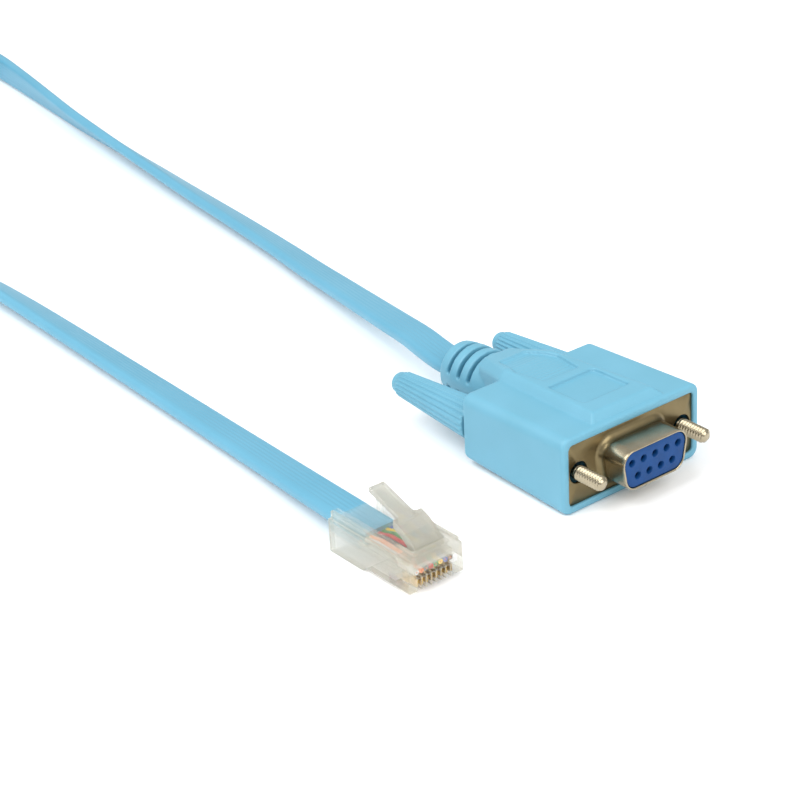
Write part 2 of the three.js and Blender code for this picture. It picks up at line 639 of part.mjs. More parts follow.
add('hood', hood(), FINISH.jacket);
add('front_shell', frontShell(), FINISH.steel);
add('insulator', insulator(), FINISH.insulator);
PIN_PLACES.forEach((place, i) => add(`socket_${i + 1}`, socket(place), FINISH.gold));
for (const [name, side] of [['left', -1], ['right', 1]]) {
  add(`jackscrew_${name}`, jackscrew(side), FINISH.steel);
  add(`thumb_grip_${name}`, thumbGrip(side), FINISH.jacket);
}
add('cable_run_db9', leadRun(DB9_RUN), FINISH.jacket);
add('cable_coil', coil(), FINISH.jacket);
add('coil_tie', coilTie(), FINISH.tie);
add('cable_run_rj45', leadRun(RJ45_RUN), FINISH.jacket);
add('plug_housing', plugHousing(), FINISH.clear);
add('plug_latch', plugLatch(), FINISH.clear);
eachWire((i) => add(`plug_wire_${i + 1}`, plugWire(i), { ...FINISH.jacket, color: WIRE_COLOURS[i] }));
eachWire((i) => add(`plug_contact_${i + 1}`, plugBlade(i), FINISH.gold));

export default group;
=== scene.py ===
"""Looks of a flat console cable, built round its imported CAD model.

The cable has a moulded nine-way D-sub socket with two thumbscrews at one end, a clear eight-way
modular plug at the other, and a flat eight-core lead between them. Sizes are in millimetres of the
connector's own frame: x = 0 is the front face of its hood, +X the way both ends plug in, +Z up.
"""

from __future__ import annotations

import logging
import math
from dataclasses import dataclass
from enum import Enum
from typing import Sequence

import bmesh
import bpy
import numpy as np
from mathutils import Matrix, Vector


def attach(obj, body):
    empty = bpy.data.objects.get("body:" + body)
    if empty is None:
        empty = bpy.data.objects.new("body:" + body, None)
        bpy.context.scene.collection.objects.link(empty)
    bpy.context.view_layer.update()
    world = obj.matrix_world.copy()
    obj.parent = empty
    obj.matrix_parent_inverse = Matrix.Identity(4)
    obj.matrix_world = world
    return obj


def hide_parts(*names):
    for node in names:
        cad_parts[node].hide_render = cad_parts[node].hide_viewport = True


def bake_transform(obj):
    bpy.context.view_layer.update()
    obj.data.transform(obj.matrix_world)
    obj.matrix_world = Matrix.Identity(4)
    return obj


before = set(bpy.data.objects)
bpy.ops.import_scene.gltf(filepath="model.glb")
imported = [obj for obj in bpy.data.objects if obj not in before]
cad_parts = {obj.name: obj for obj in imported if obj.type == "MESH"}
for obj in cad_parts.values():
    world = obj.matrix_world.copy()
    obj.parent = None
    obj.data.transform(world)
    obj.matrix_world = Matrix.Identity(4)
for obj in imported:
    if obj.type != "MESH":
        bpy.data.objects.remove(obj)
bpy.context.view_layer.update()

LOG = logging.getLogger("console_cable")

Point = tuple[float, float, float]
Flat = tuple[float, float]
Loop = list[int]

MM = 0.001
SHIFT = 22.05  # the row frame's origin lies this far behind the hood's front face
AXIS_Z = 7.5  # height of the connector's axis above the floor
SCREW_Y = 12.495  # the thumbscrews' distance to either side of it
PLUG_NOSE = 1.9
PLUG_Y = -46.6


class Body(Enum):
    """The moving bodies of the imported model."""

    CABLE = "cable"
    THUMBSCREW_LEFT = "thumbscrew_left"
    THUMBSCREW_RIGHT = "thumbscrew_right"
    LATCH = "latch"


class Side(Enum):
    """The two sides of the connector, seen from behind it."""

    LEFT = -1
    RIGHT = 1


# Finishes


def linear(hex_colour: str) -> tuple[float, float, float, float]:
    """Turns an sRGB colour into Blender's linear one.

    Args:
        hex_colour: six digits after a hash sign.

    Returns:
        Red, green, blue and an alpha of one.
    """
    parts = [int(hex_colour[i : i + 2], 16) / 255 for i in (1, 3, 5)]
    bare = [c / 12.92 if c <= 0.04045 else ((c + 0.055) / 1.055) ** 2.4 for c in parts]
    return bare[0], bare[1], bare[2], 1.0


def add_node(
    tree: bpy.types.NodeTree,
    kind: str,
    settings: dict[str, object] | None = None,
    values: dict[str | int, object] | None = None,
    links: dict[str | int, bpy.types.NodeSocket] | None = None,
) -> bpy.types.Node:
    """Adds one node to a tree.

    Args:
        tree: the material's or the world's nodes.
        kind: Blender's name for the node.
        settings: the node's own options.
        values: constants for its input sockets.
        links: output sockets to join to its input sockets.

    Returns:
        The new node.
    """
    node = tree.nodes.new(kind)
    for name, value in (settings or {}).items():
        setattr(node, name, value)
    for socket, value in (values or {}).items():
        node.inputs[socket].default_value = value
    for socket, source in (links or {}).items():
        tree.links.new(source, node.inputs[socket])
    return node


def fresh_material(name: str) -> tuple[bpy.types.Material, bpy.types.NodeTree]:
    """Makes an empty node material.

    Args:
        name: what the real material is called.

    Returns:
        The material and its node tree.
    """
    material = bpy.data.materials.new(name)
    material.use_nodes = True
    material.node_tree.nodes.clear()
    return material, material.node_tree


def close_material(tree: bpy.types.NodeTree, surface: bpy.types.Node) -> None:
    """Joins a surface shader to the material's output.

    Args:
        tree: the material's nodes.
        surface: the shader that the eye sees.
    """
    add_node(tree, "ShaderNodeOutputMaterial", links={"Surface": surface.outputs[0]})


def grain(
    tree: bpy.types.NodeTree, size_mm: float, height_mm: float, strength: float
) -> bpy.types.NodeSocket:
    """Gives a surface an even, random grain.

    Args:
        tree: the material's nodes.
        size_mm: distance between neighbouring bumps.
        height_mm: height of a bump.
        strength: share of that height that the light sees.

    Returns:
        The bumped normal.
    """
    place = add_node(tree, "ShaderNodeTexCoord")
    noise = add_node(
        tree,
        "ShaderNodeTexNoise",
        values={"Scale": 1 / (size_mm * MM), "Detail": 2.0},
        links={"Vector": place.outputs["Object"]},
    )
    bump = add_node(
        tree,
        "ShaderNodeBump",
        values={"Strength": strength, "Distance": height_mm * MM},
        links={"Height": noise.outputs[0]},
    )
    return bump.outputs[0]


def cloudy(
    tree: bpy.types.NodeTree, size_mm: float, low: object, high: object
) -> bpy.types.NodeSocket:
    """Varies a colour slowly over a surface.

    Args:
        tree: the material's nodes.
        size_mm: width of a cloud.
        low: colour of the darker places.
        high: colour of the lighter places.

    Returns:
        The colour.
    """
    place = add_node(tree, "ShaderNodeTexCoord")
    noise = add_node(
        tree,
        "ShaderNodeTexNoise",
        values={"Scale": 1 / (size_mm * MM), "Detail": 3.0},
        links={"Vector": place.outputs["Object"]},
    )
    ramp = add_node(tree, "ShaderNodeValToRGB", links={"Fac": noise.outputs[0]})
    ramp.color_ramp.elements[0].position = 0.3
    ramp.color_ramp.elements[0].color = low
    ramp.color_ramp.elements[1].position = 0.7
    ramp.color_ramp.elements[1].color = high
    return ramp.outputs["Color"]


def clouded_material(
    name: str,
    tones: tuple[str, str],
    cloud_mm: float,
    values: dict[str | int, object],
    texture: tuple[float, float, float],
) -> bpy.types.Material:
    """Makes a plain finish whose colour drifts a little and whose surface has a fine grain.

    Args:
        name: what the real material is called.
        tones: the darker and the lighter colour, in hex.
        cloud_mm: width of a cloud of colour.
        values: constants of the surface shader.
        texture: the grain's size and height in millimetres, and its strength.

    Returns:
        The material.
    """
    material, tree = fresh_material(name)
    shader = add_node(
        tree,
        "ShaderNodeBsdfPrincipled",
        values=values,
        links={
            "Base Color": cloudy(tree, cloud_mm, linear(tones[0]), linear(tones[1])),
            "Normal": grain(tree, *texture),
        },
    )
    close_material(tree, shader)
    return material


@dataclass(frozen=True)
class MouldedPvc:
    """Soft PVC moulded in an etched steel mould: satin, with an eggshell grain and no gloss."""

    tones: tuple[str, str] = ("#609db3", "#64a1b8")
    cloud_mm: float = 9.0
    grain_mm: float = 0.3  # the etching is near 0.1 mm and is drawn coarser, so that it shows
    grain_height_mm: float = 0.02

    def make(self) -> bpy.types.Material:
        """Builds the material.

        Returns:
            The material.
        """
        surface = {"Roughness": 0.46, "IOR": 1.53}
        texture = (self.grain_mm, self.grain_height_mm, 0.35)
        return clouded_material("moulded_pvc", self.tones, self.cloud_mm, surface, texture)


@dataclass(frozen=True)
class ExtrudedPvc:
    """Soft PVC drawn through a die as a flat jacket: satin, with faint lines that run along it."""

    dark_hex: str = "#5698b2"
    light_hex: str = "#5d9eb8"
    cloud_mm: float = 30.0
    line_mm: float = 0.95  # the eight cores show faintly, one beside the next
    line_height_mm: float = 0.12

    def make(self) -> bpy.types.Material:
        """Builds the material.

        Returns:
            The material.
        """
        material, tree = fresh_material("extruded_pvc")
        place = add_node(tree, "ShaderNodeTexCoord")
        lines = add_node(
            tree,
            "ShaderNodeTexWave",
            settings={"bands_direction": "X", "wave_profile": "SIN"},
            # the map's u is the distance across the lead, and a wave spans 2 pi / 20 of it
            values={"Scale": math.pi / 10 / (self.line_mm * MM), "Distortion": 0.0},
            links={"Vector": place.outputs["UV"]},
        )
        bump = add_node(
            tree,
            "ShaderNodeBump",
            values={"Strength": 0.35, "Distance": self.line_height_mm * MM},
            links={"Height": lines.outputs["Fac"], "Normal": grain(tree, 0.5, 0.01, 0.3)},
        )
        shader = add_node(
            tree,
            "ShaderNodeBsdfPrincipled",
            values={"Roughness": 0.44, "IOR": 1.53},
            links={
                "Base Color": cloudy(
                    tree, self.cloud_mm, linear(self.dark_hex), linear(self.light_hex)
                ),
                "Normal": bump.outputs[0],
            },
        )
        close_material(tree, shader)
        return material


@dataclass(frozen=True)
class NickelPlate:
    """Nickel plated on stamped or turned steel: a warm, slightly dull mirror."""

    name: str = "nickel_on_drawn_steel"
    tones: tuple[str, str] = ("#9a8f78", "#aea48d")
    cloud_mm: float = 4.0
    roughness: float = 0.24

    def make(self) -> bpy.types.Material:
        """Builds the material.

        Returns:
            The material.
        """
        surface = {"Metallic": 1.0, "Roughness": self.roughness}
        return clouded_material(self.name, self.tones, self.cloud_mm, surface, (0.4, 0.01, 0.3))


@dataclass(frozen=True)
class MouldedPbt:
    """Glass-filled PBT moulded as the contact block: a flat, even royal blue with little sheen."""

    tones: tuple[str, str] = ("#033a70", "#06407a")
    cloud_mm: float = 2.5

    def make(self) -> bpy.types.Material:
        """Builds the material.

        Returns:
            The material.
        """
        surface = {"Roughness": 0.5, "IOR": 1.57, "Specular IOR Level": 0.2}
        return clouded_material(
            "moulded_pbt", self.tones, self.cloud_mm, surface, (0.25, 0.01, 0.4)
        )


@dataclass(frozen=True)
class PlatedContact:
    """Gold flashed over nickel on a stamped contact, or bare drawn copper: a warm bright metal."""

    name: str = "gold_flash"
    tones: tuple[str, str] = ("#b98f3c", "#dcb560")
    roughness: float = 0.24

    def make(self) -> bpy.types.Material:
        """Builds the material.

        Returns:
            The material.
        """
        surface = {"Metallic": 1.0, "Roughness": self.roughness}
        return clouded_material(self.name, self.tones, 1.5, surface, (0.2, 0.005, 0.3))


@dataclass(frozen=True)
class ClearPolycarbonate:
    """Clear polycarbonate from a polished mould: clear where thin, warm and milky where thick."""

    name: str = "thick_polycarbonate"
    tint_hex: str = "#cdcab9"
    clarity: float = 0.45
    haze: float = 0.6
    roughness: float = 0.1

    def make(self) -> bpy.types.Material:
        """Builds the material.

        Returns:
            The material.
        """
        material, tree = fresh_material(self.name)
        shader = add_node(
            tree,
            "ShaderNodeBsdfPrincipled",
            values={
                "Base Color": linear(self.tint_hex),
                "Roughness": self.roughness,
                "IOR": 1.585,
                "Transmission Weight": self.clarity,
                "Alpha": self.haze,
            },
            links={"Normal": grain(tree, 1.6, 0.01, 0.35)},
        )
        close_material(tree, shader)
        return material


@dataclass(frozen=True)
class CoreInsulation:
    """Thin coloured PVC drawn over a copper core: plain and slightly glossy."""

    name: str
    tones: tuple[str, str]

    def make(self) -> bpy.types.Material:
        """Builds the material.

        Returns:
            The material.
        """
        surface = {"Roughness": 0.38, "IOR": 1.53}
        return clouded_material(
            f"core_pvc_{self.name}", self.tones, 3.0, surface, (0.5, 0.01, 0.3)
        )


@dataclass(frozen=True)
class WovenStrap:
    """Nylon woven as a hook-and-loop strap: matt black with a crossing weave and soft sheen."""

    dark_hex: str = "#15161a"
    light_hex: str = "#2b2d33"
    thread_mm: float = 0.7

    def make(self) -> bpy.types.Material:
        """Builds the material.

        Returns:
            The material.
        """
        material, tree = fresh_material("woven_nylon")
        place = add_node(tree, "ShaderNodeTexCoord")
        spacing = math.pi / 10 / (self.thread_mm * MM)
        waves = [
            add_node(
                tree,
                "ShaderNodeTexWave",
                settings={"bands_direction": direction},
                values={"Scale": spacing, "Distortion": 0.3},
                links={"Vector": place.outputs["Object"]},
            )
            for direction in ("Y", "DIAGONAL")
        ]
        weave = add_node(
            tree,
            "ShaderNodeMath",
            settings={"operation": "MULTIPLY"},
            links={0: waves[0].outputs["Fac"], 1: waves[1].outputs["Fac"]},
        )
        bump = add_node(
            tree,
            "ShaderNodeBump",
            values={"Strength": 0.8, "Distance": 0.15 * MM},
            links={"Height": weave.outputs[0]},
        )
        shader = add_node(
            tree,
            "ShaderNodeBsdfPrincipled",
            values={"Roughness": 0.85, "Sheen Weight": 0.3},
            links={
                "Base Color": cloudy(
                    tree, self.thread_mm, linear(self.dark_hex), linear(self.light_hex)
                ),
                "Normal": bump.outputs[0],
            },
        )
        close_material(tree, shader)
        return material


@dataclass(frozen=True)
class SeamlessPaper:
    """Matt white background paper."""

    colour_hex: str = "#fcfcfc"

    def make(self) -> bpy.types.Material:
        """Builds the material.

        Returns:
            The material.
        """
        material, tree = fresh_material("background_paper")
        shader = add_node(
            tree,
            "ShaderNodeBsdfPrincipled",
            values={"Base Color": linear(self.colour_hex), "Roughness": 0.9},
        )
        close_material(tree, shader)
        return material


# Meshes


class Draft:
    """Points and faces of a piece, gathered in millimetres of the connector's frame."""

    def __init__(self) -> None:
        """Starts with nothing."""
        self.points: list[Point] = []
        self.faces: list[tuple[int, ...]] = []
        self.slots: list[int] = []
        self.fills: list[list[Loop]] = []
        self.slot = 0

    def ring(self, points: Sequence[Point]) -> Loop:
        """Adds a closed ring of points.

        Args:
            points: the ring, in order.

        Returns:
            The numbers of its points.
        """
        first = len(self.points)
        self.points.extend(points)
        return list(range(first, len(self.points)))

    def face(self, *corners: int) -> None:
        """Adds one face in the present material slot."""
        self.faces.append(corners)
        self.slots.append(self.slot)

    def bridge(self, one: Loop, other: Loop) -> None:
        """Joins two rings of the same number of points by a band of faces.

        Args:
            one: the first ring.
            other: the ring beside it.
        """
        for i in range(len(one)):
            after = (i + 1) % len(one)
            self.face(one[i], one[after], other[after], other[i])

    def loft(self, rings: Sequence[Sequence[Point]]) -> list[Loop]:
        """Adds a run of rings, each joined to the next.

        Args:
            rings: the rings, in order.

        Returns:
            Their point numbers.
        """
        loops = [self.ring(points) for points in rings]
        for one, other in zip(loops, loops[1:]):
            self.bridge(one, other)
        return loops

    def closed_loft(self, rings: Sequence[Sequence[Point]]) -> list[Loop]:
        """Adds a run of rings with a flat face on each end.

        Args:
            rings: the rings, in order.

        Returns:
            Their point numbers.
        """
        loops = self.loft(rings)
        self.face(*loops[0])
        self.face(*loops[-1])
        return loops

    def object(self, name: str) -> bpy.types.Object:
        """Makes a Blender object of the draft, in metres of the row frame.

        Args:
            name: what the piece is called.

        Returns:
            The object, linked to the scene.
        """
        mesh = bpy.data.meshes.new(name)
        place = [((x + SHIFT) * MM, y * MM, z * MM) for x, y, z in self.points]
        mesh.from_pydata(place, [], self.faces)
        mesh.polygons.foreach_set("material_index", self.slots)
        work = bmesh.new()
        work.from_mesh(mesh)
        work.verts.ensure_lookup_table()
        for loops in self.fills:
            edges = []
            for loop in loops:
                corners = [work.verts[i] for i in loop]
                for here, there in zip(corners, corners[1:] + corners[:1]):
                    edges.append(work.edges.get((here, there)) or work.edges.new((here, there)))
            bmesh.ops.triangle_fill(work, use_beauty=True, edges=edges)
        bmesh.ops.recalc_face_normals(work, faces=work.faces)
        work.to_mesh(mesh)
        work.free()
        piece = bpy.data.objects.new(name, mesh)
        bpy.context.scene.collection.objects.link(piece)
        return piece


def rounded(corners: Sequence[Flat], radius: float, steps: int = 6) -> list[Flat]:
    """Rounds each corner of a flat outline by an arc.

    Args:
        corners: the sharp outline, in order.
        radius: radius of every arc.
        steps: straight pieces in each arc.

    Returns:
        The rounded outline.
    """
    spots = [Vector(corner) for corner in corners]
    outline: list[Flat] = []
    for i, corner in enumerate(spots):
        back = (spots[i - 1] - corner).normalized()
        ahead = (spots[(i + 1) % len(spots)] - corner).normalized()
        half = back.angle(ahead) / 2
        reach = radius / math.tan(half)
        centre = corner + (back + ahead).normalized() * radius / math.sin(half)
        start = corner + back * reach - centre
        end = corner + ahead * reach - centre
        turn = start.angle_signed(end)
        for step in range(steps + 1):
            # a positive signed angle is clockwise for a flat vector
            spoke = start.copy()
            spoke.rotate(Matrix.Rotation(-turn * step / steps, 2))
            outline.append((centre.x + spoke.x, centre.y + spoke.y))
    return outline


def circle(radius: float, count: int) -> list[Flat]:
    """Gives the points of a circle.

    Args:
        radius: its radius.
        count: how many points.

    Returns:
        The points, in order.
    """
    turns = [2 * math.pi * i / count for i in range(count)]
    return [(radius * math.cos(t), radius * math.sin(t)) for t in turns]


def facing_x(outline: Sequence[Flat], x: float, y: float = 0.0, z: float = AXIS_Z) -> list[Point]:
    """Stands a flat outline across the X axis.

    Args:
        outline: (y, z) about its own centre.
        x: where it stands.
        y: its centre's y.
        z: its centre's z.

    Returns:
        The points.
    """
    return [(x, y + u, z + v) for u, v in outline]


# Mouldings that are described by distances


def meet(one: np.ndarray, other: np.ndarray, radius: float) -> np.ndarray:
    """Keeps what lies in both shapes, with the edge between them rounded.

    Args:
        one: signed distances to the first shape.
        other: signed distances to the second.
        radius: radius of the edge.

    Returns:
        The signed distances of the result.
    """
    inner = np.minimum(-radius, np.maximum(one, other))
    return inner + np.hypot(np.maximum(one + radius, 0), np.maximum(other + radius, 0))


def merge(one: np.ndarray, other: np.ndarray, radius: float) -> np.ndarray:
    """Joins two shapes, with a fillet of the given radius between them."""
    return -meet(-one, -other, radius)


def carve(one: np.ndarray, tool: np.ndarray, radius: float) -> np.ndarray:
    """Takes a tool's shape away from another, with the edge of the cut rounded."""
    return meet(one, -tool, radius)


def within(value: np.ndarray, low: float, high: float) -> np.ndarray:
    """Gives the signed distance to the slab between two values."""
    return np.abs(value - (low + high) / 2) - (high - low) / 2


def polygon_distance(u: np.ndarray, v: np.ndarray, corners: Sequence[Flat]) -> np.ndarray:
    """Measures the signed distance to a flat outline.

    Args:
        u: first coordinate of each sample.
        v: second coordinate of each sample.
        corners: the outline, in order.

    Returns:
        The distances, negative inside.
    """
    nearest = np.full(np.broadcast(u, v).shape, np.inf)
    inside = np.zeros(nearest.shape, bool)
    for (u0, v0), (u1, v1) in zip(corners, list(corners[1:]) + list(corners[:1])):
        run, rise = u1 - u0, v1 - v0
        share = np.clip(((u - u0) * run + (v - v0) * rise) / (run * run + rise * rise), 0, 1)
        away = np.hypot(u - u0 - share * run, v - v0 - share * rise)
        nearest = np.minimum(nearest, away)
        if rise:
            crosses = (v0 <= v) != (v1 <= v)
            inside ^= crosses & (u < u0 + (v - v0) / rise * run)
    return np.where(inside, -nearest, nearest)


class Moulding:
    """A block of sample points in which a moulded piece is described by signed distances."""

    def __init__(self, low: Point, high: Point, step: float) -> None:
        """Lays out the samples.

        Args:
            low: the block's lowest corner.
            high: its highest corner.
            step: distance between samples, which is also the size of the mesh's faces.
        """
        self.low = np.array(low)
        self.step = step
        axes = [np.arange(a, b + step, step) for a, b in zip(low, high)]
        self.x, self.y, self.z = np.meshgrid(*axes, indexing="ij", sparse=True)

    def object(self, name: str, field: np.ndarray) -> bpy.types.Object:
        """Makes a smooth mesh of the surface where the distance is zero.

        Args:
            name: what the piece is called.
            field: signed distance at each sample.

        Returns:
            The object, in metres of the row frame.
        """
        number, points = self.cell_points(field)
        quads = self.cell_quads(field, number)
        mesh = bpy.data.meshes.new(name)
        mesh.from_pydata((points * MM).tolist(), [], quads.tolist())
        mesh.validate()
        piece = bpy.data.objects.new(name, mesh)
        bpy.context.scene.collection.objects.link(piece)
        return piece

    def cell_points(self, field: np.ndarray) -> tuple[np.ndarray, np.ndarray]:
        """Puts one point in each cell that the surface passes through.

        Args:
            field: signed distance at each sample.

        Returns:
            The number of each cell's point, or -1 where it has none, and the points.
        """
        cells = tuple(n - 1 for n in field.shape)
        total = np.zeros(cells + (3,), np.float32)
        hits = np.zeros(cells, np.float32)
        for axis in range(3):
            first, second = (axis + 1) % 3, (axis + 2) % 3
            for a in (0, 1):
                for b in (0, 1):
                    start = [0, 0, 0]
                    start[first], start[second] = a, b
                    end = list(start)
                    end[axis] = 1
                    low, high = cell_corner(field, start), cell_corner(field, end)
                    crosses = (low < 0) != (high < 0)
                    share = np.where(crosses, low / np.where(crosses, low - high, 1), 0)
                    total[..., axis] += share
                    total[..., first] += a * crosses
                    total[..., second] += b * crosses
                    hits += crosses
        used = hits > 0
        number = np.full(cells, -1, np.int64)
        number[used] = np.arange(int(used.sum()))
        spots = np.argwhere(used) + total[used] / hits[used][:, None]
        return number, self.low + spots * self.step + np.array([SHIFT, 0, 0])

    def cell_quads(self, field: np.ndarray, number: np.ndarray) -> np.ndarray:
        """Joins the points round each sample edge that the surface crosses.

        Args:
            field: signed distance at each sample.
            number: the number of each cell's point.

        Returns:
            Four point numbers for each face, facing outwards.
        """
        quads = []
        for axis in range(3):
            first, second = (axis + 1) % 3, (axis + 2) % 3
            trim = [slice(1, -1)] * 3
            trim[axis] = slice(0, -1)
            ahead = list(trim)
            ahead[axis] = slice(1, None)
            low, high = field[tuple(trim)], field[tuple(ahead)]
            where = np.argwhere((low < 0) != (high < 0))
            outward = (low < 0)[tuple(where.T)]
            where[:, first] += 1
            where[:, second] += 1
            around = []
            for a, b in ((1, 1), (0, 1), (0, 0), (1, 0)):
                cell = where.copy()
                cell[:, first] -= a
                cell[:, second] -= b
                around.append(number[tuple(cell.T)])
            quad = np.stack(around, axis=1)
            quad[~outward] = quad[~outward][:, ::-1]
            quads.append(quad)
        return np.concatenate(quads)


def cell_corner(field: np.ndarray, offset: Sequence[int]) -> np.ndarray:
    """Gives each cell the sample at one of its eight corners.

    Args:
        field: signed distance at each sample.
        offset: which corner, as 0 or 1 on each axis.

    Returns:
        One sample a cell.
    """
    return field[tuple(slice(o, o + n - 1) for o, n in zip(offset, field.shape))]


def dress(
    piece: bpy.types.Object,
    materials: Sequence[bpy.types.Material],
    nodes: Sequence[str],
    body: Body | None = Body.CABLE,
    sharp_deg: float = 40.0,
) -> bpy.types.Object:
    """Gives a piece its finish and its place in the model.

    Args:
        piece: the mesh object.
        materials: its materials, in slot order.
        nodes: the CAD nodes that it stands for.
        body: the body that it rides on, or None for a piece that is put on no body.
        sharp_deg: edges sharper than this aren't shaded smooth.

    Returns:
        The piece.
    """
    for material in materials:
        piece.data.materials.append(material)
    piece.data.shade_smooth()
    piece.data.set_sharp_from_angle(angle=math.radians(sharp_deg))
    if body:
        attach(piece, body.value)
    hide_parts(*nodes)
    LOG.info("%s: %d faces", piece.name, len(piece.data.polygons))
    return piece


# The lead


@dataclass
class FlatLead:
    """The flat eight-core lead, with the length that the photograph leaves out wound in a coil."""

    width: float = 7.4
    thickness: float = 2.4
    corner: float = 1.05
    step: float = 1.5
    length_m: float = 1.83
    coil_x: float = -330.0
    coil_y: float = -5.0
    outer_turn: float = 42.0
    inner_turn: float = 32.4
    lower_z: float = 4.6
    upper_z: float = 12.1
    turns_per_layer: float = 2.5
    points_per_turn: int = 24

    def connector_run(self) -> list[tuple[float, float, float, float]]:
        """Gives the listed way from the D-sub connector to the coil.

        Returns:
            x, y, z and the section's lean in degrees: 0 lies flat and 90 stands on edge.
        """
        return [
            (-44.9, 0, AXIS_Z, 0), (-46.9, 0, AXIS_Z, 0), (-49.5, 0, AXIS_Z, 0),
            (-55.5, 1.1, 7.35, 1), (-63, 3.0, 7.0, 2), (-74, 5.4, 6.1, 4), (-86.5, 8.3, 4.9, 7),
            (-99, 11.1, 3.8, 10), (-112, 13.6, 3.0, 13), (-124, 15.7, 2.7, 17),
            (-136, 17.4, 2.6, 20), (-148.5, 18.8, 2.7, 23), (-161, 20.1, 2.8, 26),
            (-174, 21.4, 3.0, 30), (-187.5, 22.9, 3.2, 35), (-201.5, 24.4, 3.4, 41),
            (-216, 26.0, 3.6, 48), (-231.5, 27.8, 3.8, 56), (-247.5, 30.2, 3.95, 65),
            (-265, 32.9, 4.1, 75), (-282.5, 35.3, 4.3, 84), (-300, 36.7, 4.5, 90),
            (-314, self.coil_y + self.outer_turn, self.lower_z, 90),
        ]  # fmt: skip

    def plug_run(self) -> list[tuple[float, float, float, float]]:
        """Gives the listed way from the modular plug to the coil.

        Returns:
            x, y, z and the section's lean, as in connector_run.
        """
        return [
            (-12.5, PLUG_Y, 4.2, 0), (-16, PLUG_Y, 4.2, 0), (-22.6, -46.3, 4.15, 1),
            (-36, -45.2, 3.5, 4), (-50, -43.8, 2.6, 7), (-64.5, -42.9, 2.2, 10),
            (-79, -42.3, 2.15, 13), (-94, -41.8, 2.2, 16), (-110, -41.4, 2.35, 19),
            (-126, -41.0, 2.5, 22), (-143.5, -40.7, 2.7, 26), (-160, -40.8, 2.9, 31),
            (-178, -41.3, 3.2, 38), (-196, -42.0, 3.5, 47), (-214, -42.9, 3.8, 57),
            (-232, -43.9, 4.3, 68), (-250, -45.0, 5.2, 78), (-268, -46.0, 6.8, 86),
            (-285, -46.7, 8.9, 90), (-300, -47, 10.9, 90),
            (-314, self.coil_y - self.outer_turn, self.upper_z, 90),
        ]  # fmt: skip

    def coil_points(self) -> tuple[list[Point], list[Vector]]:
        """Winds the coil: a layer inwards on the floor, half a turn up, and a layer outwards.

        Returns:
            The points, and the way that the lead's face looks at each of them.
        """
        turns = 2 * self.turns_per_layer + 0.5
        count = round(turns * self.points_per_turn)
        points: list[Point] = []
        faces: list[Vector] = []
        for i in range(count + 1):
            wound = turns * i / count
            inward = min(1.0, wound / self.turns_per_layer, (turns - wound) / self.turns_per_layer)
            radius = self.outer_turn + (self.inner_turn - self.outer_turn) * inward
            climb = min(1.0, max(0.0, (wound - self.turns_per_layer) / 0.5))
            ease = climb * climb * (3 - 2 * climb)
            angle = math.pi / 2 + 2 * math.pi * wound
            out = Vector((math.cos(angle), math.sin(angle), 0))
            z = self.lower_z + (self.upper_z - self.lower_z) * ease
            points.append((self.coil_x + radius * out.x, self.coil_y + radius * out.y, z))
            faces.append(out)
        return points, faces

    def route(self) -> tuple[np.ndarray, np.ndarray]:
        """Runs one smooth curve from the connector through the coil to the plug.

        Returns:
            The centre of each section in millimetres, and the way that its face looks.
        """
        points: list[Point] = []
        faces: list[Vector] = []
        for x, y, z, lean in self.connector_run():
            points.append((x, y, z))
            faces.append(Vector((0, math.sin(math.radians(lean)), math.cos(math.radians(lean)))))
        wound, outward = self.coil_points()
        points += wound
        faces += outward
        for x, y, z, lean in reversed(self.plug_run()):
            points.append((x, y, z))
            faces.append(Vector((0, -math.sin(math.radians(lean)), -math.cos(math.radians(lean)))))
        return self.smooth(np.array(points), np.array([tuple(f) for f in faces]))

    def smooth(self, points: np.ndarray, faces: np.ndarray) -> tuple[np.ndarray, np.ndarray]:
        """Draws a centripetal Catmull-Rom curve through the points.

        Args:
            points: the points to pass through.
            faces: the way that the section's face looks at each of them.

        Returns:
            Evenly spaced points and faces.
        """
        padded = np.vstack([2 * points[0] - points[1], points, 2 * points[-1] - points[-2]])
        curve, looks = [], []
        for i in range(len(points) - 1):
            p0, p1, p2, p3 = padded[i : i + 4]
            spans = ((p0, p1), (p1, p2), (p2, p3))
            d0, d1, d2 = (math.sqrt(np.linalg.norm(b - a)) for a, b in spans)
            m1 = ((p1 - p0) / d0 - (p2 - p0) / (d0 + d1) + (p2 - p1) / d1) * d1
            m2 = ((p2 - p1) / d1 - (p3 - p1) / (d1 + d2) + (p3 - p2) / d2) * d1
            t = np.linspace(0, 1, 17)[:, None][:-1]
            square = 3 * (p2 - p1) - 2 * m1 - m2
            cube = 2 * (p1 - p2) + m1 + m2
            curve.append(p1 + m1 * t + square * t**2 + cube * t**3)
            looks.append(faces[i] * (1 - t) + faces[i + 1] * t)
        dense = np.vstack(curve + [points[-1:]])
        look = np.vstack(looks + [faces[-1:]])
        gone = np.concatenate([[0], np.cumsum(np.linalg.norm(np.diff(dense, axis=0), axis=1))])
        stations = np.linspace(0, gone[-1], round(gone[-1] / self.step))
        even = np.stack([np.interp(stations, gone, dense[:, k]) for k in range(3)], axis=1)
        evenly = np.stack([np.interp(stations, gone, look[:, k]) for k in range(3)], axis=1)
        return even, evenly

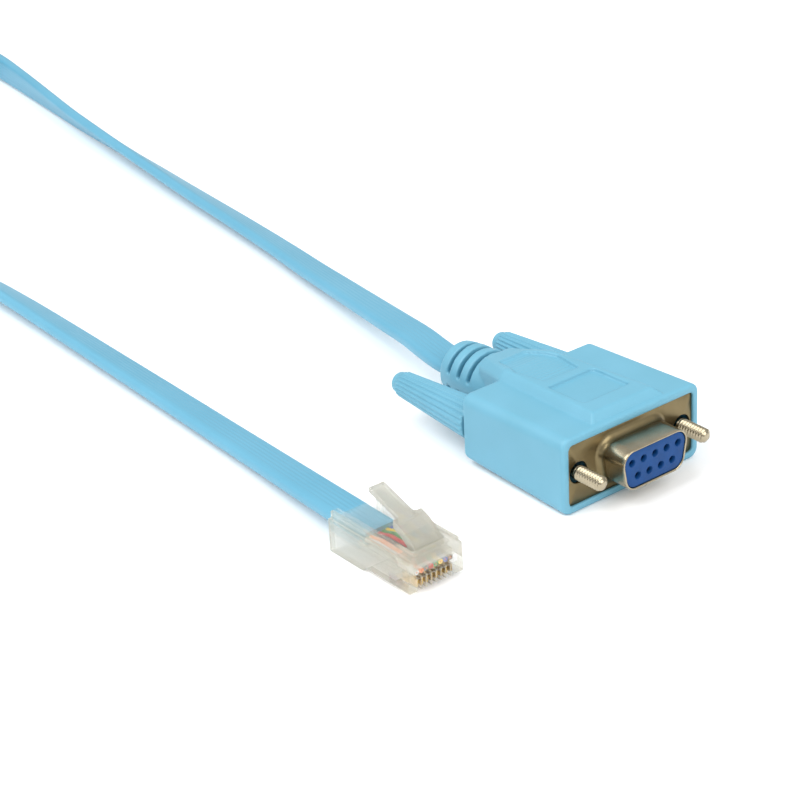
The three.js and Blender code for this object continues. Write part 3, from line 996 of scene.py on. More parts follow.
    def build(self, jacket: bpy.types.Material) -> tuple[bpy.types.Object, list[Point]]:
        """Sweeps the flat section along the whole route.

        Args:
            jacket: the jacket's material.

        Returns:
            The lead, and the centres of its sections in metres of the row frame.
        """
        centres, looks = self.route()
        along = np.gradient(centres, axis=0)
        along /= np.linalg.norm(along, axis=1)[:, None]
        looks -= (looks * along).sum(axis=1)[:, None] * along
        looks /= np.linalg.norm(looks, axis=1)[:, None]
        across = np.cross(along, looks)
        half_w, half_t = self.width / 2, self.thickness / 2
        section = rounded(
            [(half_w, half_t), (-half_w, half_t), (-half_w, -half_t), (half_w, -half_t)],
            self.corner,
            5,
        )
        draft = Draft()
        rings = [
            [tuple(centre + u * side + v * look) for u, v in section]
            for centre, side, look in zip(centres, across, looks)
        ]
        draft.closed_loft(rings)
        lead = draft.object("flat_lead")
        self.map_across(lead, section)
        dress(
            lead, [jacket], ["cable_run_db9", "cable_coil", "cable_run_rj45"]
        )
        path = [((x + SHIFT) * MM, y * MM, z * MM) for x, y, z in centres.tolist()]
        return lead, path

    def map_across(self, lead: bpy.types.Object, section: Sequence[Flat]) -> None:
        """Maps the distance across the lead, for the lines that run along it.

        Args:
            lead: the swept mesh, whose points follow the section ring by ring.
            section: the flat section.
        """
        layer = lead.data.uv_layers.new(name="across")
        count = len(section)
        for corner in lead.data.loops:
            ring, place = divmod(corner.vertex_index, count)
            layer.data[corner.index].uv = (section[place][0] * MM, ring * self.step * MM)


@dataclass
class CoilTie:
    """The hook-and-loop strap round the coil, on the side away from the connectors."""

    centre_x: float = -367.2
    centre_y: float = -5.0
    centre_z: float = 8.35
    half_across: float = 6.5
    half_height: float = 7.75
    bend: float = 1.6
    thickness: float = 0.55
    width: float = 8.0
    edge: float = 0.2
    lap_gap: float = 0.05

    def build(self, strap: bpy.types.Material) -> bpy.types.Object:
        """Wraps the strap once round the coil, with its tail over the top.

        Args:
            strap: the strap's material.

        Returns:
            The strap.
        """
        a, b = self.half_across, self.half_height
        loop = rounded([(a, b), (-a, b), (-a, -b), (a, -b)], self.bend, 5)
        lap = loop + loop[: len(loop) // 4]
        half = self.width / 2
        low, high = self.edge, self.thickness - self.edge
        inner = half - low
        section = [
            (0, -inner), (0, inner), (low, half), (high, half),
            (self.thickness, inner), (self.thickness, -inner), (high, -half), (low, -half),
        ]  # fmt: skip
        draft = Draft()
        rings = []
        for i, (u, v) in enumerate(lap):
            before, after = lap[max(i - 1, 0)], lap[min(i + 1, len(lap) - 1)]
            way = Vector((after[0] - before[0], after[1] - before[1])).normalized()
            out = Vector((way.y, -way.x))
            share = min(1.0, max(0.0, (i - len(loop) * 0.8) / (len(loop) * 0.2)))
            lift = (self.thickness + self.lap_gap) * share
            rings.append(
                [
                    (
                        self.centre_x + u + out.x * (r + lift),
                        self.centre_y + w,
                        self.centre_z + v + out.y * (r + lift),
                    )
                    for r, w in section
                ]
            )
        draft.closed_loft(rings)
        return dress(draft.object("coil_strap"), [strap], ["coil_tie"])


# The D-sub connector


@dataclass
class Hood:
    """The moulded hood, in one piece with its round, slotted strain relief."""

    length: float = 27.0
    front: Flat = (33.07, 15.0)
    rear: Flat = (32.27, 13.3)
    corner: float = 2.0
    edge: float = 0.7
    plateau_rise: float = 1.5
    plateau_front: float = -1.0
    plateau_halves: tuple[Flat, ...] = ((-36.0, 4.4), (-27.0, 7.3), (-1.0, 8.7))
    neck_fall: float = 0.16
    panel_depth: float = 0.55
    relief_radii: tuple[Flat, ...] = ((-46.6, 5.2), (-43.0, 5.7), (-26.0, 6.0))
    slots: tuple[float, ...] = (-37.9, -40.8, -43.7)
    slot_half: float = 0.5
    slot_floor: float = 3.7
    web_half: float = 1.15
    window: Flat = (30.0, 11.9)
    pocket: Flat = (18.2, 9.8)
    screw_bore: float = 1.8
    screw_room: float = 2.9
    lead_slot: Flat = (7.6, 2.6)
    step: float = 0.25

    front_panel: Flat = (-15.7, -6.4)
    front_panel_half: float = 5.4
    rear_panel: tuple[Flat, ...] = ((-18.4, 3.7), (-24.7, 4.7), (-31.0, 2.9))
    relief_edge: float = 0.5
    relief_fillet: float = 0.6
    mouth_depth: float = 2.2
    mouth_corner: float = 1.1
    cut_edge: float = 0.2
    ridge_edge: float = 0.12
    line_pitch: float = 1.0
    line_height: float = 0.05

    def top_fall(self, x: np.ndarray) -> np.ndarray:
        """Gives how far the top has come down.

        Args:
            x: where along the hood.

        Returns:
            The drop from the front's top edge.
        """
        taper = (self.front[1] - self.rear[1]) / 2 / self.length
        return -x * taper + np.maximum(0, -x - self.length) * self.neck_fall

    def block(self, m: Moulding) -> np.ndarray:
        """Describes the tapered block.

        Args:
            m: the sample points.

        Returns:
            Its signed distances.
        """
        share = -m.x / self.length
        wide = (self.front[0] + (self.rear[0] - self.front[0]) * share) / 2
        tall = (self.front[1] + (self.rear[1] - self.front[1]) * share) / 2
        section = meet(np.abs(m.y) - wide, np.abs(m.z - AXIS_Z) - tall, self.corner)
        return meet(section, within(m.x, -self.length, 0), self.edge)

    def plateau(self, m: Moulding) -> np.ndarray:
        """Describes the raised middle, with its sloping front and sides and its neck.

        Args:
            m: the sample points.

        Returns:
            Its signed distances.
        """
        stations = np.array([x for x, _ in self.plateau_halves])
        halves = np.array([half for _, half in self.plateau_halves])
        side = np.abs(m.y) - np.interp(m.x, stations, halves)
        top = m.z - (self.front[1] + self.plateau_rise - self.top_fall(m.x))
        front = m.x - self.plateau_front
        slope = math.sqrt(0.5)
        sides = meet((side + top + self.plateau_rise) * slope, side, 0.3)
        ends = meet((front + top + self.plateau_rise) * slope, front, 0.3)
        body = meet(meet(sides, ends, self.ridge_edge), top, 0.15)
        body = meet(body, stations[0] - m.x, 0.3)
        return meet(body, AXIS_Z + 2 - m.z, 0.3)

    def panels(self, m: Moulding) -> list[np.ndarray]:
        """Describes the two shallow panels in the raised middle.

        Args:
            m: the sample points.

        Returns:
            The signed distances of both cuts.
        """
        floor = self.front[1] + self.plateau_rise - self.panel_depth - self.top_fall(m.x)
        front = meet(within(m.x, *self.front_panel), np.abs(m.y) - self.front_panel_half, 0.5)
        corners = list(self.rear_panel) + [(x, -y) for x, y in reversed(self.rear_panel)]
        rear = polygon_distance(m.x, m.y, corners)
        # fine lines run across the rear panel's floor
        lines = self.line_height * np.cos(2 * math.pi * m.x / self.line_pitch)
        return [
            meet(front, floor - m.z, self.cut_edge),
            meet(rear - 0.3, floor + lines - m.z, self.cut_edge),
        ]

    def strain_relief(self, m: Moulding) -> np.ndarray:
        """Describes the round strain relief with its slots and its side webs.

        Args:
            m: the sample points.

        Returns:
            Its signed distances.
        """
        reach = np.hypot(m.y, m.z - AXIS_Z)
        stations = [x for x, _ in self.relief_radii]
        radius = np.interp(m.x, stations, [r for _, r in self.relief_radii])
        body = meet(reach - radius, within(m.x, stations[0], stations[-1]), self.relief_edge)
        for place in self.slots:
            slot = meet(np.abs(m.x - place) - self.slot_half, self.slot_floor - reach, 0.2)
            slot = meet(slot, self.web_half - np.abs(m.z - AXIS_Z), 0.4)
            body = carve(body, slot, 0.15)
        half_w, half_t = self.lead_slot[0] / 2, self.lead_slot[1] / 2
        mouth = meet(np.abs(m.y) - half_w, np.abs(m.z - AXIS_Z) - half_t, self.mouth_corner)
        mouth = meet(mouth, m.x - stations[0] - self.mouth_depth, self.cut_edge)
        return carve(body, mouth, self.cut_edge)

    def opening(self, m: Moulding, size: Flat, ends: Flat, corner: float) -> np.ndarray:
        """Describes an opening with rounded corners, centred on the axis.

        Args:
            m: the sample points.
            size: its width and height.
            ends: where it starts and ends in x.
            corner: radius of its corners.

        Returns:
            Its signed distances.
        """
        section = meet(np.abs(m.y) - size[0] / 2, np.abs(m.z - AXIS_Z) - size[1] / 2, corner)
        return np.maximum(section, within(m.x, *ends))

    def hollows(self, m: Moulding) -> list[np.ndarray]:
        """Describes the window, the block's pocket and the screws' bores.

        Args:
            m: the sample points.

        Returns:
            The signed distances of each cut.
        """
        bores = []
        for side in Side:
            reach = np.hypot(m.y - side.value * SCREW_Y, m.z - AXIS_Z)
            bores.append(reach - self.screw_bore)
            bores.append(np.maximum(reach - self.screw_room, within(m.x, -7.0, -0.9)))
        return [
            self.opening(m, self.window, (-1.0, 2.0), 0.9),
            self.opening(m, self.pocket, (-5.9, -0.9), 1.4),
            *bores,
        ]

    def build(self, pvc: bpy.types.Material) -> bpy.types.Object:
        """Moulds the hood.

        Args:
            pvc: the moulded material.

        Returns:
            The hood.
        """
        m = Moulding((-47.6, -17.5, -1.0), (1.0, 17.5, 18.0), self.step)
        plateau = self.plateau(m)
        for panel in self.panels(m):
            plateau = carve(plateau, panel, self.cut_edge)
        body = merge(self.block(m), self.strain_relief(m), self.relief_fillet)
        body = merge(body, plateau, self.ridge_edge)
        for hollow in self.panels(m) + self.hollows(m):
            body = carve(body, hollow, self.cut_edge)
        piece = m.object("moulded_hood", body)
        return dress(piece, [pvc], ["hood"], sharp_deg=60)


@dataclass
class DSocket:
    """The steel shell, the blue contact block in it and its nine contacts."""

    flange: Flat = (30.81, 12.55)
    flange_corner: float = 1.2
    flange_face: float = -0.4
    flange_thickness: float = 0.5
    hole_radius: float = 2.0
    shell: Flat = (16.33, 7.9)
    shell_corner: float = 2.6
    shell_front: float = 5.8
    wall: float = 0.4
    foot: float = 1.4
    slant_deg: float = 10.0
    block_face: float = 5.6
    block_rear: float = -5.5
    collar: Flat = (17.6, 9.2)
    pitch: float = 2.77
    rows: float = 2.84
    pin_hole: float = 0.62
    chamber: float = 1.1
    contact_profile: tuple[Flat, ...] = (
        (0.5, -5.2), (0.78, -5.1), (0.8, -4.9), (0.8, -1.0), (0.7, -0.6), (0.7, 1.2),
        (0.8, 1.6), (0.8, 4.2), (0.74, 4.4), (0.6, 4.4), (0.52, 4.2), (0.52, -5.0),
    )  # fmt: skip

    def d_outline(self, inset: float) -> list[Flat]:
        """Draws the D outline, wide at the top.

        Args:
            inset: how far inside the shell's outer face it runs.

        Returns:
            (y, z) points about the axis.
        """
        top = self.shell[1] / 2 - inset
        half = self.shell[0] / 2 - inset
        low = half - 2 * top * math.tan(math.radians(self.slant_deg))
        corners = [(-half, top), (-low, -top), (low, -top), (half, top)]
        return rounded(corners, self.shell_corner - inset, 8)

    def plate_outline(self, inset: float) -> list[Flat]:
        """Draws the flange's outline.

        Args:
            inset: how far inside the flange's edge it runs.

        Returns:
            (y, z) points about the axis.
        """
        half_w, half_h = self.flange[0] / 2 - inset, self.flange[1] / 2 - inset
        corners = [(half_w, half_h), (-half_w, half_h), (-half_w, -half_h), (half_w, -half_h)]
        return rounded(corners, self.flange_corner, 6)

    def pin_places(self) -> list[Flat]:
        """Places the nine contacts, five above four.

        Returns:
            (y, height above the axis) of each.
        """
        upper = [((i - 2) * self.pitch, self.rows / 2) for i in range(5)]
        lower = [((i - 1.5) * self.pitch, -self.rows / 2) for i in range(4)]
        return upper + lower

    def build_shell(
        self, plate_metal: bpy.types.Material, sleeve_metal: bpy.types.Material
    ) -> bpy.types.Object:
        """Stamps the flange and draws the D-shaped sleeve out of it.

        Args:
            plate_metal: the stamped flange's nickel, darkened to paint its dim reflections.
            sleeve_metal: the drawn sleeve's, which is brighter: the same nickel without painted
                shade.

        Returns:
            The shell.
        """
        face, back = self.flange_face, self.flange_face - self.flange_thickness
        draft = Draft()
        plate = [(face - 0.12, 0.0), (face, 0.12)]
        outer = draft.loft(
            [facing_x(self.plate_outline(0.12), back)]
            + [facing_x(self.plate_outline(inset), x) for x, inset in [(back + 0.12, 0.0)] + plate]
        )
        bend = [math.radians(a) for a in (0, 18, 36, 54, 72, 90)]
        foot = self.foot
        profile = [(face + foot * (1 - math.cos(t)), foot * (math.sin(t) - 1)) for t in bend]
        front, half = self.shell_front, self.wall / 2
        profile += [(front - 0.9, 0.0), (front - 0.7, 0.0)]
        profile += [
            (front - half + half * math.sin(t), half - half * math.cos(t))
            for t in (math.radians(a) for a in (0, 30, 60, 90, 120, 150, 180))
        ]
        profile += [(front - 0.9, self.wall), (back + 0.5, self.wall), (back, self.wall - 0.5)]
        rings = [facing_x(self.d_outline(inset), x) for x, inset in profile]
        flare = draft.loft(rings[: len(bend)])
        draft.slot = 1
        sleeve = draft.loft(rings[len(bend) :])
        draft.bridge(flare[-1], sleeve[0])
        draft.slot = 0
        holes = []
        for side in Side:
            y = side.value * SCREW_Y
            holes.append(
                draft.loft(
                    [
                        facing_x(circle(self.hole_radius + 0.1, 32), face, y),
                        facing_x(circle(self.hole_radius, 32), face - 0.12, y),
                        facing_x(circle(self.hole_radius, 32), back, y),
                    ]
                )
            )
        draft.fills.append([outer[-1], flare[0]] + [hole[0] for hole in holes])
        draft.fills.append([outer[0], sleeve[-1]] + [hole[-1] for hole in holes])
        piece = draft.object("steel_shell")
        metals = [plate_metal, sleeve_metal]
        return dress(piece, metals, ["front_shell"], sharp_deg=50)

    def build_block(self, pbt: bpy.types.Material) -> bpy.types.Object:
        """Moulds the contact block with its nine holes.

        Args:
            pbt: the block's material.

        Returns:
            The block.
        """
        inset, face, rear = self.wall + 0.04, self.block_face, self.block_rear
        draft = Draft()
        body = draft.loft(
            [
                facing_x(self.d_outline(inset + 0.22), face),
                facing_x(self.d_outline(inset + 0.06), face - 0.07),
                facing_x(self.d_outline(inset), face - 0.24),
                facing_x(self.d_outline(inset), -1.2),
                facing_x(self.d_outline(inset), -4.4),
                facing_x(self.d_outline(inset), rear),
            ]
        )
        half_w, half_h = self.collar[0] / 2, self.collar[1] / 2
        corners = [(half_w, half_h), (-half_w, half_h), (-half_w, -half_h), (half_w, -half_h)]
        collar = draft.loft([facing_x(rounded(corners, 1.4, 5), x) for x in (-1.2, -4.4)])
        holes = []
        for y, rise in self.pin_places():
            z = AXIS_Z + rise
            hole, step = self.pin_hole, face - 0.9
            rings = (
                (hole + 0.14, face), (hole, face - 0.2), (hole, step),
                (self.chamber, step), (self.chamber, rear),
            )  # fmt: skip
            holes.append(draft.loft([facing_x(circle(r, 24), x, y, z) for r, x in rings]))
        draft.fills.append([body[0]] + [hole[0] for hole in holes])
        draft.fills.append([body[-1]] + [hole[-1] for hole in holes])
        draft.fills.append([collar[0], body[3]])
        draft.fills.append([collar[1], body[4]])
        piece = draft.object("contact_block")
        return dress(piece, [pbt], ["insulator"], sharp_deg=50)

    def build_contacts(self, gold: bpy.types.Material) -> list[bpy.types.Object]:
        """Turns the nine socket contacts, each with a waist and a rounded mouth.

        Args:
            gold: the contacts' material.

        Returns:
            The contacts.
        """
        made = []
        for i, (y, rise) in enumerate(self.pin_places(), start=1):
            draft = Draft()
            loops = draft.loft(
                [facing_x(circle(r, 20), x, y, AXIS_Z + rise) for r, x in self.contact_profile]
            )
            draft.bridge(loops[-1], loops[0])
            piece = draft.object(f"socket_contact_{i}")
            made.append(dress(piece, [gold], [f"socket_{i}"]))
        return made


@dataclass
class Thumbscrew:
    """One jackscrew and the ribbed grip moulded on its end."""

    side: Side
    body: Body
    front: float = -27.3
    rear: float = -50.0
    radius: float = 3.86
    rear_radius: float = 2.5
    nose: float = 1.8
    nose_radius: float = 2.05
    ribs: int = 20
    groove: float = 0.26
    groove_half: float = 0.3
    screw_radius: float = 1.42
    thread_pitch: float = 0.635  # forty threads to the inch
    thread_depth: float = 0.34
    thread_start: float = -0.4
    tip: float = 5.9
    points_per_rib: int = 10

    def build_grip(self, pvc: bpy.types.Material) -> bpy.types.Object:
        """Moulds the tapered grip with its long ribs.

        Args:
            pvc: the moulded material.

        Returns:
            The grip.
        """
        count = self.ribs * self.points_per_rib
        shoulder = self.rear + self.nose
        stations: list[tuple[float, float, float]] = [
            (self.front, self.radius - 0.35, 0), (self.front - 0.12, self.radius - 0.12, 0.3),
            (self.front - 0.35, self.radius, 1),
        ]  # fmt: skip
        for i in range(1, 25):
            share = i / 24
            x = self.front - 0.35 + (shoulder + 0.35 - self.front + 0.35) * share
            stations.append((x, self.radius + (self.rear_radius - self.radius) * share, 1))
        stations += [
            (shoulder + 0.1, self.rear_radius - 0.12, 0.5),
            (shoulder - 0.02, self.nose_radius + 0.1, 0),
            (shoulder - 0.12, self.nose_radius, 0),
        ]
        for degrees in (0, 15, 30, 45, 60, 75, 86):
            t = math.radians(degrees)
            x = self.rear + 1.0 - math.sin(t)
            stations.append((x, self.nose_radius - 1.0 + math.cos(t), 0))
        draft = Draft()
        rings = []
        for x, radius, ribbed in stations:
            ring = []
            for i in range(count):
                turn = 2 * math.pi * i / count
                ribs_off = abs((i / self.points_per_rib + 0.5) % 1 - 0.5)
                off = ribs_off * 2 * math.pi / self.ribs * radius
                dip = max(0.0, 1 - (off / self.groove_half) ** 2) * self.groove * ribbed
                ring.append(((radius - dip) * math.cos(turn), (radius - dip) * math.sin(turn)))
            rings.append(facing_x(ring, x, self.side.value * SCREW_Y))
        draft.closed_loft(rings)
        side = self.side.name.lower()
        piece = draft.object(f"grip_{side}")
        return dress(piece, [pvc], [f"thumb_grip_{side}"], self.body, 60)

    def build_screw(self, nickel: bpy.types.Material) -> bpy.types.Object:
        """Turns the jackscrew and rolls its thread.

        Args:
            nickel: the plated steel.

        Returns:
            The jackscrew.
        """
        count = 32
        shank = self.screw_radius - 0.2
        stations = [(self.front - 3.2, shank), (self.thread_start - 0.6, shank)]
        steps = round((self.tip - self.thread_start) / self.thread_pitch * 12)
        stations += [
            (self.thread_start + (self.tip - self.thread_start) * i / steps, self.screw_radius)
            for i in range(steps + 1)
        ]
        draft = Draft()
        rings = []
        for x, radius in stations:
            ring = []
            for i in range(count):
                share = i / count
                reach = radius
                if x >= self.thread_start:
                    phase = (x / self.thread_pitch + share) % 1
                    cut = self.thread_depth * min(1.0, 2.4 * abs(phase - 0.5))
                    fade = min(1.0, (x - self.thread_start) / 0.8)
                    reach = min(radius - cut * fade, radius - 0.75 + (self.tip - x) * 1.2)
                ring.append(
                    (reach * math.cos(2 * math.pi * share), reach * math.sin(2 * math.pi * share))
                )
            rings.append(facing_x(ring, x, self.side.value * SCREW_Y))
        draft.closed_loft(rings)
        side = self.side.name.lower()
        piece = draft.object(f"screw_{side}")
        return dress(piece, [nickel], [f"jackscrew_{side}"], self.body)


# The modular plug


@dataclass
class ModularPlug:
    """The clear plug: its housing, its latch, its eight cores and its eight contacts."""

    width: float = 11.68
    length: float = 21.5
    top: float = 7.6
    step_height: float = 0.9
    step_at: float = 12.4
    step_run: float = 0.9
    ledge: Flat = (0.65, 1.2)
    channel_half: float = 3.4
    channel_floor: float = 6.3
    channel_front: float = 1.6
    jacket_z: float = 4.2
    jacket_end: float = 14.2
    wire_z: float = 4.0
    wire_room: Flat = (3.4, 5.65)
    wire_high: float = 5.1
    wire_pitch: float = 1.02
    wire_radius: float = 0.46
    blade_slot_half: float = 0.31
    blade_high: float = 2.8
    edge: float = 0.22
    wall: float = 1.3
    nose_block: float = 5.0
    nose_window: float = 0.75
    bar: Flat = (14.2, 17.4)
    bar_half: float = 2.9
    bar_floor: float = 6.0
    jacket_half: float = 3.95
    jacket_half_height: float = 1.45
    room_half: float = 4.15
    nose_wall: float = 0.45
    blade_slot_top: float = 3.0
    blade_slot_back: float = 4.3
    latch_half: float = 3.1
    handle_half: float = 1.63
    latch_edge: float = 0.15
    latch_side: tuple[Flat, ...] = (
        (1.5, 6.2), (1.5, 7.7), (2.0, 7.9), (3.6, 9.4), (5.0, 10.2), (7.0, 11.0),
        (7.0, 9.35), (5.2, 8.7), (4.0, 7.8), (2.9, 6.7), (2.6, 6.2),
    )  # fmt: skip
    handle_side: tuple[Flat, ...] = (
        (6.0, 10.6), (15.0, 13.4), (15.0, 12.4), (14.0, 12.1), (6.0, 9.5),
    )  # fmt: skip
    hinge_start: Flat = (1.5, 6.4)
    hinge_end: Flat = (3.2, 8.2)
    blade_side: tuple[Flat, ...] = (
        (0.75, 1.2), (0.5, 1.5), (0.5, 2.8), (1.0, 2.8), (1.3, 4.1), (1.6, 2.8), (2.9, 2.8),
        (3.2, 4.1), (3.5, 2.8), (4.1, 2.8), (4.1, 1.5), (3.85, 1.2),
    )  # fmt: skip
    core_squeeze: float = 0.86
    copper_radius: float = 0.17
    blade_half: float = 0.175
    mesh_step: float = 0.15

    def wire_y(self, index: int) -> float:
        """Gives how far a core lies from the plug's middle line."""
        return (index - 3.5) * self.wire_pitch

    def build_housing(
        self, thick: bpy.types.Material, thin: bpy.types.Material
    ) -> bpy.types.Object:
        """Moulds the housing with its rooms for the jacket, the cores, the contacts and the latch.

        Args:
            thick: the clear plastic of the walls and the nose.
            thin: the same plastic where the roof is thin over the jacket and the cores.

        Returns:
            The housing.
        """
        half = self.width / 2
        m = Moulding(
            (PLUG_NOSE - self.length - 0.6, PLUG_Y - half - 0.6, -0.6),
            (PLUG_NOSE + 0.6, PLUG_Y + half + 0.6, self.top + 0.6),
            self.mesh_step,
        )
        back, y, z = PLUG_NOSE - m.x, m.y - PLUG_Y, m.z
        side_view = polygon_distance(
            back,
            z,
            [
                (0, self.step_height), (0, self.top), (self.length, self.top), (self.length, 0),
                (self.step_at, 0), (self.step_at - self.step_run, self.step_height),
            ],
        )  # fmt: skip
        body = meet(side_view, np.abs(y) - half, self.edge)
        ledge = meet(half - self.ledge[0] - np.abs(y), self.top - self.ledge[1] - z, 0.1)
        body = carve(body, ledge, self.edge)
        channel = meet(np.abs(y) - self.channel_half, self.channel_floor - z, 0.15)
        channel = meet(channel, self.channel_front - back, 0.15)
        body = carve(body, channel, 0.2)
        # the bar that is pressed down on the jacket leaves a pocket in the roof
        bar = meet(np.abs(y) - self.bar_half, within(back, *self.bar), 0.2)
        body = carve(body, meet(bar, self.bar_floor - z, 0.1), 0.15)
        tall = np.abs(z - self.jacket_z) - self.jacket_half_height
        jacket = meet(np.abs(y) - self.jacket_half, tall, 0.8)
        body = carve(body, meet(jacket, self.jacket_end - back, 0.2), 0.3)
        room = meet(np.abs(y) - self.room_half, within(z, *self.wire_room), 0.3)
        room = meet(room, within(back, self.nose_wall, self.jacket_end + 0.5), 0.3)
        body = carve(body, room, 0.05)
        for i in range(8):
            wide = np.abs(y - self.wire_y(i)) - self.blade_slot_half
            slot = meet(wide, z - self.blade_slot_top, 0.05)
            slot = meet(slot, back - self.blade_slot_back, 0.05)
            body = carve(body, slot, 0.08)
        piece = m.object("clear_housing", body)
        for face in piece.data.polygons:
            back = PLUG_NOSE + SHIFT - face.center.x / MM
            inward = half - abs(face.center.y / MM - PLUG_Y)
            high = face.center.z / MM
            roof = inward > self.wall and back > self.nose_block
            cheek = abs(face.normal.y) > 0.8 and high < self.blade_high + 0.4
            nose = abs(face.normal.x) > 0.8 and abs(high - self.wire_z) < self.nose_window
            if roof or cheek and back < self.nose_block or nose and inward > self.wall and back < 1:
                face.material_index = 1
        return dress(piece, [thick, thin], ["plug_housing"], sharp_deg=50)

    def build_latch(self, clear: bpy.types.Material) -> bpy.types.Object:
        """Moulds the latch, with its living hinge behind the plug's nose.

        Args:
            clear: the clear plastic.

        Returns:
            The latch.
        """
        m = Moulding(
            (PLUG_NOSE - 15.8, PLUG_Y - 3.8, 5.8), (PLUG_NOSE - 0.9, PLUG_Y + 3.8, 14.2), 0.1
        )
        back, y, z = PLUG_NOSE - m.x, m.y - PLUG_Y, m.z
        wide = polygon_distance(back, z, self.latch_side)
        wide = meet(wide, np.abs(y) - self.latch_half, self.latch_edge)
        handle = polygon_distance(back, z, self.handle_side)
        handle = meet(handle, np.abs(y) - self.handle_half, self.latch_edge)
        body = merge(wide, handle, 0.5)
        piece = m.object("clear_latch", body)
        dress(piece, [clear], ["plug_latch"], body=None, sharp_deg=50)
        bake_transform(piece)
        return piece

    def build_cores(
        self, insulations: Sequence[CoreInsulation], copper: bpy.types.Material
    ) -> list[bpy.types.Object]:
        """Fans the eight cores out of the jacket and runs them to the plug's nose.

        Args:
            insulations: the eight colours, from the near side.
            copper: the bare end of each core.

        Returns:
            The cores.
        """
        made = []
        for i, insulation in enumerate(insulations):
            inner, outer = self.wire_y(i) * self.core_squeeze, self.wire_y(i)
            rings = []
            for step in range(25):
                share = step / 24
                back = self.jacket_end + 0.5 - (self.jacket_end - 0.1) * share
                ease = min(1.0, share / 0.3)
                ease = ease * ease * (3 - 2 * ease)
                y = PLUG_Y + inner + (outer - inner) * ease
                dip = min(1.0, max(0.0, (6.5 - back) / 3))
                dip = dip * dip * (3 - 2 * dip)
                high = self.jacket_z + (self.wire_high - self.jacket_z) * ease
                z = high + (self.wire_z - high) * dip
                rings.append(facing_x(circle(self.wire_radius, 16), PLUG_NOSE - back, y, z))
            nose = PLUG_NOSE - 0.6
            draft = Draft()
            loops = draft.loft(rings)
            draft.face(*loops[0])
            end = circle(self.copper_radius, 16)
            core = draft.ring(facing_x(end, nose, PLUG_Y + outer, self.wire_z))
            draft.bridge(loops[-1], core)
            draft.slot = 1
            draft.face(*core)
            piece = draft.object(f"core_{insulation.name}")
            finishes = [insulation.make(), copper]
            made.append(
                dress(piece, finishes, [f"plug_wire_{i + 1}"])
            )
        return made

    def build_contacts(self, gold: bpy.types.Material) -> list[bpy.types.Object]:
        """Stamps the eight contacts, each with a rounded heel and two teeth in its core.

        Args:
            gold: the contacts' material.

        Returns:
            The contacts.
        """
        outline = self.blade_side
        half = self.blade_half
        made = []
        for i in range(8):
            y = PLUG_Y + self.wire_y(i)
            middle_s = sum(s for s, _ in outline) / len(outline)
            middle_z = sum(z for _, z in outline) / len(outline)
            rings = []
            for offset, keep in ((-half, 0.97), (-half + 0.05, 1), (half - 0.05, 1), (half, 0.97)):
                rings.append(
                    [
                        (
                            PLUG_NOSE - (middle_s + (s - middle_s) * keep),
                            y + offset,
                            middle_z + (z - middle_z) * keep,
                        )
                        for s, z in outline
                    ]
                )
            draft = Draft()
            draft.closed_loft(rings)
            piece = draft.object(f"blade_contact_{i + 1}")
            made.append(dress(piece, [gold], [f"plug_contact_{i + 1}"], sharp_deg=30))
        return made


# The studio


@dataclass(frozen=True)
class PhotoCamera:
    """The photograph's viewpoint, worked out from the nine contact holes and the standard sizes."""

    position_mm: Point = (263.98, -236.42, 189.68)
    yaw_deg: float = 52.48
    dip_deg: float = 26.85
    roll_deg: float = -3.16
    focal_px: float = 2181.91
    frame_px: float = 800.0
    sensor_mm: float = 36.0

    def build(self) -> bpy.types.Object:
        """Sets the camera up.

        Returns:
            The camera.
        """
        yaw, dip, roll = (math.radians(a) for a in (self.yaw_deg, self.dip_deg, self.roll_deg))
        ahead = Vector(
            (-math.sin(yaw) * math.cos(dip), math.cos(yaw) * math.cos(dip), -math.sin(dip))
        )
        level = Vector((math.cos(yaw), math.sin(yaw), 0))
        upright = level.cross(ahead)
        right = level * math.cos(roll) + upright * math.sin(roll)
        up = upright * math.cos(roll) - level * math.sin(roll)
        data = bpy.data.cameras.new("photo_camera")
        data.sensor_width = self.sensor_mm
        data.lens = self.focal_px / self.frame_px * self.sensor_mm
        data.clip_start = 0.01
        data.clip_end = 20
        camera = bpy.data.objects.new("photo_camera", data)
        turn = Matrix((right, up, -ahead)).transposed().to_4x4()
        camera.matrix_world = Matrix.Translation(Vector(self.position_mm) * MM) @ turn
        bpy.context.scene.collection.objects.link(camera)
        bpy.context.scene.camera = camera
        return camera


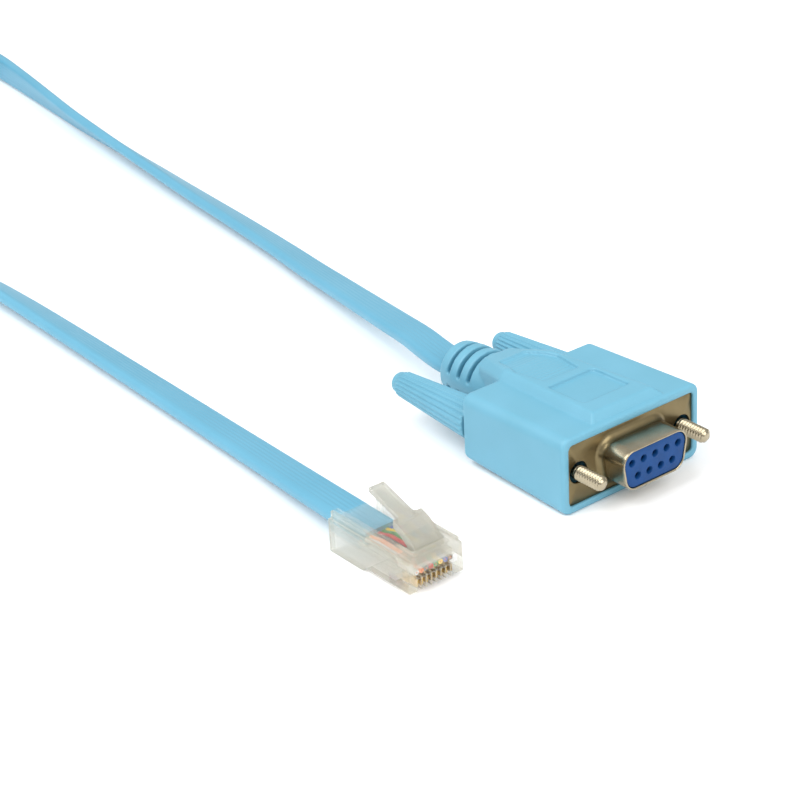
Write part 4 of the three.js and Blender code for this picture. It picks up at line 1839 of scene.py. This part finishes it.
@dataclass(frozen=True)
class Studio:
    """A pale floor under a white sky, with one large soft light."""

    floor_half_m: float = 4.0
    sky_hex: str = "#ffffff"
    horizon_hex: str = "#dfe3e6"
    sky_strength: float = 0.86
    key_watts: float = 12.0
    key_size_m: float = 0.9
    key_place_m: Point = (-0.25, -0.75, 0.95)
    fill_watts: float = 8.0
    fill_place_m: Point = (0.85, 0.1, 0.75)

    def build_floor(self, paper: bpy.types.Material) -> None:
        """Lays the floor.

        Args:
            paper: its material.
        """
        half = self.floor_half_m
        mesh = bpy.data.meshes.new("floor")
        mesh.from_pydata(
            [(-half, -half, 0), (half, -half, 0), (half, half, 0), (-half, half, 0)],
            [],
            [(0, 1, 2, 3)],
        )
        mesh.materials.append(paper)
        floor = bpy.data.objects.new("floor", mesh)
        bpy.context.scene.collection.objects.link(floor)

    def build_lights(self) -> None:
        """Hangs the soft lights and sets the sky."""
        for name, watts, place in (
            ("key", self.key_watts, self.key_place_m),
            ("fill", self.fill_watts, self.fill_place_m),
        ):
            data = bpy.data.lights.new(name, "AREA")
            data.energy = watts
            data.size = self.key_size_m
            light = bpy.data.objects.new(name, data)
            light.location = place
            light.rotation_euler = (-Vector(place)).to_track_quat("-Z", "Y").to_euler()
            bpy.context.scene.collection.objects.link(light)
        world = bpy.data.worlds.new("sky")
        world.use_nodes = True
        tree = world.node_tree
        tree.nodes.clear()
        place = add_node(tree, "ShaderNodeTexCoord")
        parts = add_node(
            tree, "ShaderNodeSeparateXYZ", links={"Vector": place.outputs["Generated"]}
        )
        ramp = add_node(tree, "ShaderNodeValToRGB", links={"Fac": parts.outputs["Z"]})
        ramp.color_ramp.elements[0].color = linear(self.horizon_hex)
        ramp.color_ramp.elements[1].color = linear(self.sky_hex)
        sky = add_node(
            tree,
            "ShaderNodeBackground",
            values={"Strength": self.sky_strength},
            links={"Color": ramp.outputs["Color"]},
        )
        add_node(tree, "ShaderNodeOutputWorld", links={"Surface": sky.outputs[0]})
        bpy.context.scene.world = world
        bpy.context.scene.view_settings.view_transform = "Standard"


CORES = (
    CoreInsulation("grey", ("#b9bcb9", "#cfd1ce")),
    CoreInsulation("orange", ("#e0691c", "#f0832f")),
    CoreInsulation("black", ("#171716", "#2a2a29")),
    CoreInsulation("red", ("#b01f22", "#c92f30")),
    CoreInsulation("green", ("#1f7a34", "#2f9142")),
    CoreInsulation("yellow", ("#dcb41e", "#ecc93a")),
    CoreInsulation("blue", ("#2a4699", "#3a59b0")),
    CoreInsulation("brown", ("#5f3a20", "#744b2c")),
)


def main() -> None:
    """Builds the camera, the lead and its plug, then the connector and the studio."""
    logging.basicConfig(level=logging.INFO, format="%(name)s: %(message)s")
    PhotoCamera().build()
    gold = PlatedContact().make()
    thick = ClearPolycarbonate().make()
    thin = ClearPolycarbonate("thin_polycarbonate", "#e6e4d6", 0.6, 0.15).make()
    copper = PlatedContact("bare_copper", ("#a8623a", "#c97c4f"), 0.3).make()

    lead, path = FlatLead().build(ExtrudedPvc().make())
    plug = ModularPlug()
    pieces = [CoilTie().build(WovenStrap().make())]
    springy = ClearPolycarbonate("latch_polycarbonate", "#bdbbae", 0.5, 0.72).make()
    pieces += [plug.build_housing(thick, thin), plug.build_latch(springy)]
    pieces += plug.build_cores(CORES, copper)
    pieces += plug.build_contacts(gold)

    pvc = MouldedPvc().make()
    nickel = NickelPlate().make()
    Hood().build(pvc)
    socket = DSocket()
    # the same nickel as the sleeve, rougher, and coloured darker to paint the dim reflections on
    # the flange
    stamped = NickelPlate("nickel_painted_dim_on_plate", ("#746749", "#7f7255"), 6.0, 0.34).make()
    socket.build_shell(stamped, nickel)
    socket.build_block(MouldedPbt().make())
    socket.build_contacts(gold)
    for side, body in ((Side.LEFT, Body.THUMBSCREW_LEFT), (Side.RIGHT, Body.THUMBSCREW_RIGHT)):
        screw = Thumbscrew(side, body)
        screw.build_screw(nickel)
        screw.build_grip(pvc)

    studio = Studio()
    studio.build_floor(SeamlessPaper().make())
    studio.build_lights()


if __name__ == "__main__":
    main()
